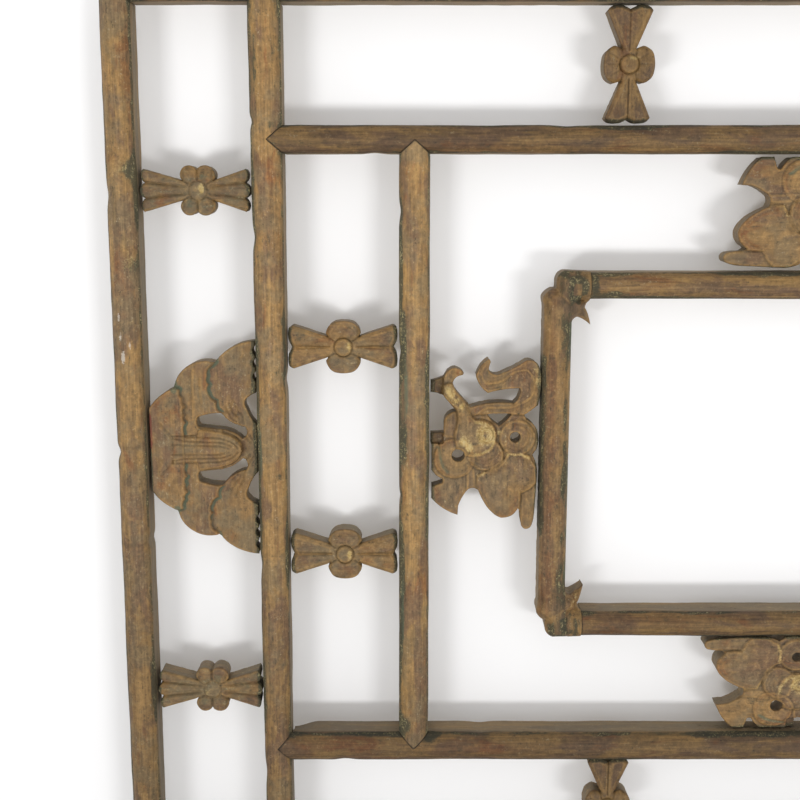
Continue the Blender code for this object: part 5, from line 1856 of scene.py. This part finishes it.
# From the middle of the stile: to the joint with the rails, to their middle, and to the top
INNER_JOINT = INNER_X - CORNER_JOINT_X
INNER_RAIL = (boxes["rail_inner_top"][0][2] - boxes["rail_inner_bottom"][0][2]) / 2
INNER_TOP = INNER_RAIL + INNER_HALF
UPPER_LOBE = -1.3
LOWER_LOBE = -3.8


def inner_half(lobe):
    """Half of the outline: across towards the opening, and up from the middle to a lobe."""
    half, joint, top = INNER_HALF, INNER_JOINT, INNER_TOP
    under = INNER_RAIL - half
    return [
        (half, 0.0, 0.0), (half, under - 13.8, -0.35), (half + 3.4, under - 10.2, -0.1),
        (joint + 1.5, under - 15.4, 0.12), (joint - 2.6, under - 4.6, -0.2), (joint, under, 0.0),
        (joint, top, 0.0), (lobe + 5.2, top + 0.6, 0.3), (lobe + 0.1, top - 5.2, 0.0),
        (lobe, top - 10.0, 0.0), (-3.2, top - 10.2, 0.22), (-half - 0.6, top - 15.4, 0.15),
        (-half, top - 20.0, 0.0), (-half, 0.0, 0.0),
    ]


print("half an inner stile turns", len(inner_half(UPPER_LOBE)), "corners")

# %% Round section and flat corners
def crown(room):
    """The height of the round section of a strip at a distance from its edge."""
    radius = (INNER_HALF ** 2 + CROWN_RISE ** 2) / (2 * CROWN_RISE)
    return np.sqrt(radius ** 2 - (INNER_HALF - room) ** 2) - (radius - CROWN_RISE)


def inner_form(face, room, side):
    """Raise the round section and the flatter corners; gives where corners and rails' ends are."""
    p, q = face.p, face.q
    under = INNER_RAIL - INNER_HALF
    inward = np.clip(room, 0, INNER_HALF)
    arch = crown(inward)
    corner = smooth(under - 16.0, under - 8.0, np.abs(q))
    rail_arch = crown(np.clip(INNER_HALF - np.abs(np.abs(q) - INNER_RAIL), 0, INNER_HALF))
    by_joint = smooth(INNER_JOINT - 11.0, INNER_JOINT - 5.0, p)
    by_rail = by_joint * smooth(under - 3.0, under + 0.5, np.abs(q))
    flat_arch = CROWN_RISE * smooth(0.0, 4.6, inward) ** 0.7
    swell = arch * (1 - corner) + (0.75 * flat_arch + 0.15 * arch) * corner
    face.height += swell * (1 - by_rail) + rail_arch * by_rail
    face.height -= 0.35 * (0.5 + 0.5 * ripple(q / 14.0, p / 9.0, 60 + side))
    return corner, by_rail


print("the crown rises", round(float(crown(INNER_HALF)), 2), "mm")

# %% Corners and damage of an inner stile
def inner_corner(face, way):
    """Cut one corner: the crease between its lobes, its leaf point, and the dirt on and beside it."""
    p, q, top = face.p, face.q, INNER_TOP
    up = way * q
    crease = [(-2.4, way * (top - 9.4)), (1.6, way * (top - 13.4)), (7.0, way * (top - 18.6))]
    face.groove(crease, 1.8, 0.9, 0.0)
    face.ridge(crease, 0.9, 0.5)
    leaf = open_path([(7.0, way * (top - 18.6), 0.06 * way), (15.6, way * (top - 27.2), 0.0)])
    face.groove(leaf, 1.0, 0.4, 0.2)
    face.groove([(8.6, way * (top - 8.0)), (9.4, way * (top - 16.0))], 1.4, 0.5, 0.3)
    face.height -= 4.0 * smooth(9.5, 18.0, p) * smooth(top - 20.0, top - 30.0, up) * (up > 0)
    lobe = smooth(-2.0, 2.0, p + up - (top - 11.7)) * smooth(top - 22.0, top - 17.0, up)
    patchy = 0.42 + 0.46 * ripple(p / 3.8, q / 3.8, 64)
    face.mark("dark", patchy * lobe * (1 - 0.6 * smooth(INNER_JOINT - 4.0, INNER_JOINT, p)))
    beside = smooth(top - 80.0, top - 30.0, up) * smooth(-2.0, 3.0, p) * (p < INNER_HALF)
    face.mark("dark", (0.46 + 0.2 * ripple(p / 4.0, q / 7.0, 65)) * beside)
    face.mark("rust", 0.5 * bell(p, -3.0, 2.5) * smooth(top - 26.0, top - 34.0, up))
    face.mark("worn", 0.7 * bell(np.hypot(p + 1.0, up - (top - 13.0)), 0.0, 3.5))


def inner_damage(face):
    """A split and an orange chip in the lower corner of the left stile."""
    face.groove([(9.4, -INNER_TOP + 26.0), (9.6, -INNER_TOP + 4.0)], 0.5, 0.8)
    chip = bell(line_distance([(10.4, -97.5), (15.6, -86.5)], face.p, face.q), 0.0, 1.5)
    face.height -= 0.8 * chip
    face.mark("gold", 0.4 * chip)
    face.mark("rust", 0.9 * chip)


def inner_cut(side):
    """The carving of an inner stile; only the left one is damaged."""
    def cut(face, room):
        p, q = face.p, face.q
        corner, by_rail = inner_form(face, room, side)
        for way in SIGNS:
            inner_corner(face, way)
        face.mark("cut", corner * (0.35 + 0.3 * ripple(p / 6.0, q / 6.0, 61)))
        edge_dark = (0.5 + 0.25 * ripple(q / 7.0, p / 4.0, 63)) * bell(p, INNER_HALF - 3.0, 2.6)
        face.mark("dark", edge_dark * (1 - corner))
        if side < 0:
            inner_damage(face)
        edge_green = bell(p, INNER_HALF - 0.6, 1.6) * (0.4 + 0.4 * ripple(q / 12.0, p, 62))
        face.mark("green", edge_green * (1 - corner))
        face.height = np.minimum(face.height, SIDE_DEPTH + CROWN_RISE - 0.25)
        return np.where(by_rail > 0.5, EDGE_ROUND, room)
    return cut


print("corners begin", round(INNER_TOP - 2 * INNER_HALF - 16.0, 1), "mm above the middle of a stile")

# %% Make the inner stiles
INNER_SPACING = 0.9
INNER_BACK = 0.1
for inner_number, (inner_side, inner_label) in enumerate(SIDES):
    inner_node = "stile_inner_" + inner_label
    upper = [point for point in mirrored_path(inner_half(UPPER_LOBE)) if point[1] >= 0]
    lower = [point for point in mirrored_path(inner_half(LOWER_LOBE)) if point[1] < 0]
    inner_low, inner_high = boxes[inner_node]
    inner_place = placer(inner_side * INNER_X, (inner_low[2] + inner_high[2]) / 2, (-inner_side, 0), (0, 1))
    carve(inner_node, "inner_z", upper + lower, [], [], inner_cut(inner_side), inner_place,
          inner_number + 50, INNER_SPACING, SIDE_DEPTH, INNER_BACK)

# %% [markdown]
# ## Wall, floor, light and camera
#
# The panel hangs close to a plain white wall, so soft shadows fall beside it. Two broad lamps stand
# low on the left and the right, and a pale world fills in. Seen from behind, the wall is clear, so
# that the back of the panel can be looked at, and so is the floor when it is seen from below.

# %% The stage
WALL_Y = 16.0
FLOOR_Z = -900.0
ROOM = 4000.0
WALL_WHITE = (0.86, 0.86, 0.87)
FLOOR_WHITE = (0.80, 0.79, 0.77)
PAINT_ROUGHNESS = 0.9
# The mottle of the paint: how much of a slightly darker colour it takes
MOTTLE_SHARE = 0.06
MOTTLE_DARK = 0.94


def stage_plane(name, corners):
    """A flat piece of the room."""
    mesh = bpy.data.meshes.new(name)
    mesh.from_pydata([tuple(part * MM for part in corner) for corner in corners], [], [(0, 1, 2, 3)])
    plane = plain_object(name, mesh)
    return plane


def pale_paint(name, colour, passes_light):
    """Matt paint with a faint mottle, clear when it is looked at from behind; it can also let light pass."""
    paint = Finish(name)
    place = paint.node("ShaderNodeTexCoord", None, None, "Object")
    mottle = paint.noise(place, 3.0, 2.0)
    darker = [part * MOTTLE_DARK for part in colour]
    paint.feed("Base Color", paint.blend(mottle.between(0.2, 0.8) * MOTTLE_SHARE, colour, darker))
    paint.shader.inputs["Roughness"].default_value = PAINT_ROUGHNESS
    factor = paint.node("ShaderNodeNewGeometry", None, None, "Backfacing")
    if passes_light:
        for ray in ("Is Shadow Ray", "Is Diffuse Ray"):
            factor = factor.math("MAXIMUM", factor, paint.node("ShaderNodeLightPath", None, None, ray))
    surface = Value(paint, paint.shader.outputs[0])
    clear = paint.node("ShaderNodeBsdfTransparent")
    mixed = paint.node("ShaderNodeMixShader", None, {0: factor, 1: surface, 2: clear})
    paint.tree.links.new(mixed.socket, paint.tree.nodes["Material Output"].inputs["Surface"])
    return paint.material


wall = stage_plane("wall", [(-ROOM, WALL_Y, FLOOR_Z), (ROOM, WALL_Y, FLOOR_Z),
                            (ROOM, WALL_Y, ROOM / 2), (-ROOM, WALL_Y, ROOM / 2)])
wall.data.materials.append(pale_paint("wall paint", WALL_WHITE, True))
floor = stage_plane("floor", [(-ROOM, -ROOM, FLOOR_Z), (ROOM, -ROOM, FLOOR_Z),
                              (ROOM, ROOM, FLOOR_Z), (-ROOM, ROOM, FLOOR_Z)])
floor.data.materials.append(pale_paint("floor paint", FLOOR_WHITE, False))
print("wall at y =", WALL_Y, "mm, floor at z =", FLOOR_Z, "mm")

# %% Lamps
# The lamps stand low and look far up, so only the edge of their light reaches the panel
AIM = Vector((-0.25, 0.0, 9.7))
LAMPS = {"lamp_left": (-1.25, -1.90, -0.78), "lamp_right": (0.75, -1.90, -0.78)}
LAMP_POWER = 29.0
LAMP_SIZE = 0.6
for lamp_name, lamp_place in LAMPS.items():
    light = bpy.data.lights.new(lamp_name, "AREA")
    light.energy = LAMP_POWER
    light.size = LAMP_SIZE
    lamp = bpy.data.objects.new(lamp_name, light)
    lamp.location = lamp_place
    lamp.rotation_euler = (AIM - Vector(lamp_place)).to_track_quat("-Z", "Y").to_euler()
    bpy.context.scene.collection.objects.link(lamp)

print(len(LAMPS), "lamps of", LAMP_POWER, "watts")

# %% World and camera
world = bpy.data.worlds.new("studio")
world.use_nodes = True
world.node_tree.nodes["Background"].inputs["Color"].default_value = (1.0, 1.0, 1.0, 1.0)
world.node_tree.nodes["Background"].inputs["Strength"].default_value = 1.0
bpy.context.scene.world = world
bpy.context.scene.view_settings.view_transform = "Standard"

IMAGE_SIZE = 800
FOCAL_PIXELS = 1200.0
# The upright edges meet this many pixels below the middle of the picture
MEETING_PIXELS = 6550.0
PITCH_DOWN = math.atan(FOCAL_PIXELS / MEETING_PIXELS)
CAMERA_PLACE = (-0.2472, -0.734, -0.1096)
SENSOR = 36.0
view = bpy.data.cameras.new("camera")
view.sensor_width = SENSOR
view.lens = FOCAL_PIXELS / IMAGE_SIZE * SENSOR
view.clip_start = 0.01
camera = bpy.data.objects.new("camera", view)
camera.location = CAMERA_PLACE
camera.rotation_euler = (math.pi / 2 - PITCH_DOWN, 0.0, 0.0)
bpy.context.scene.collection.objects.link(camera)
bpy.context.scene.camera = camera
print("lens", view.lens, "mm, looking down", round(math.degrees(PITCH_DOWN), 2), "degrees")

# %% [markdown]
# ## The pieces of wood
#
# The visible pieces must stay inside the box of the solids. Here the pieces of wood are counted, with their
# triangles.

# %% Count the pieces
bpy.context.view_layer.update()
visible = [piece for piece in bpy.data.objects if piece.type == "MESH" and piece.name.endswith("_wood")]
print(len(visible), "pieces,", sum(len(piece.data.loop_triangles) for piece in visible), "triangles")
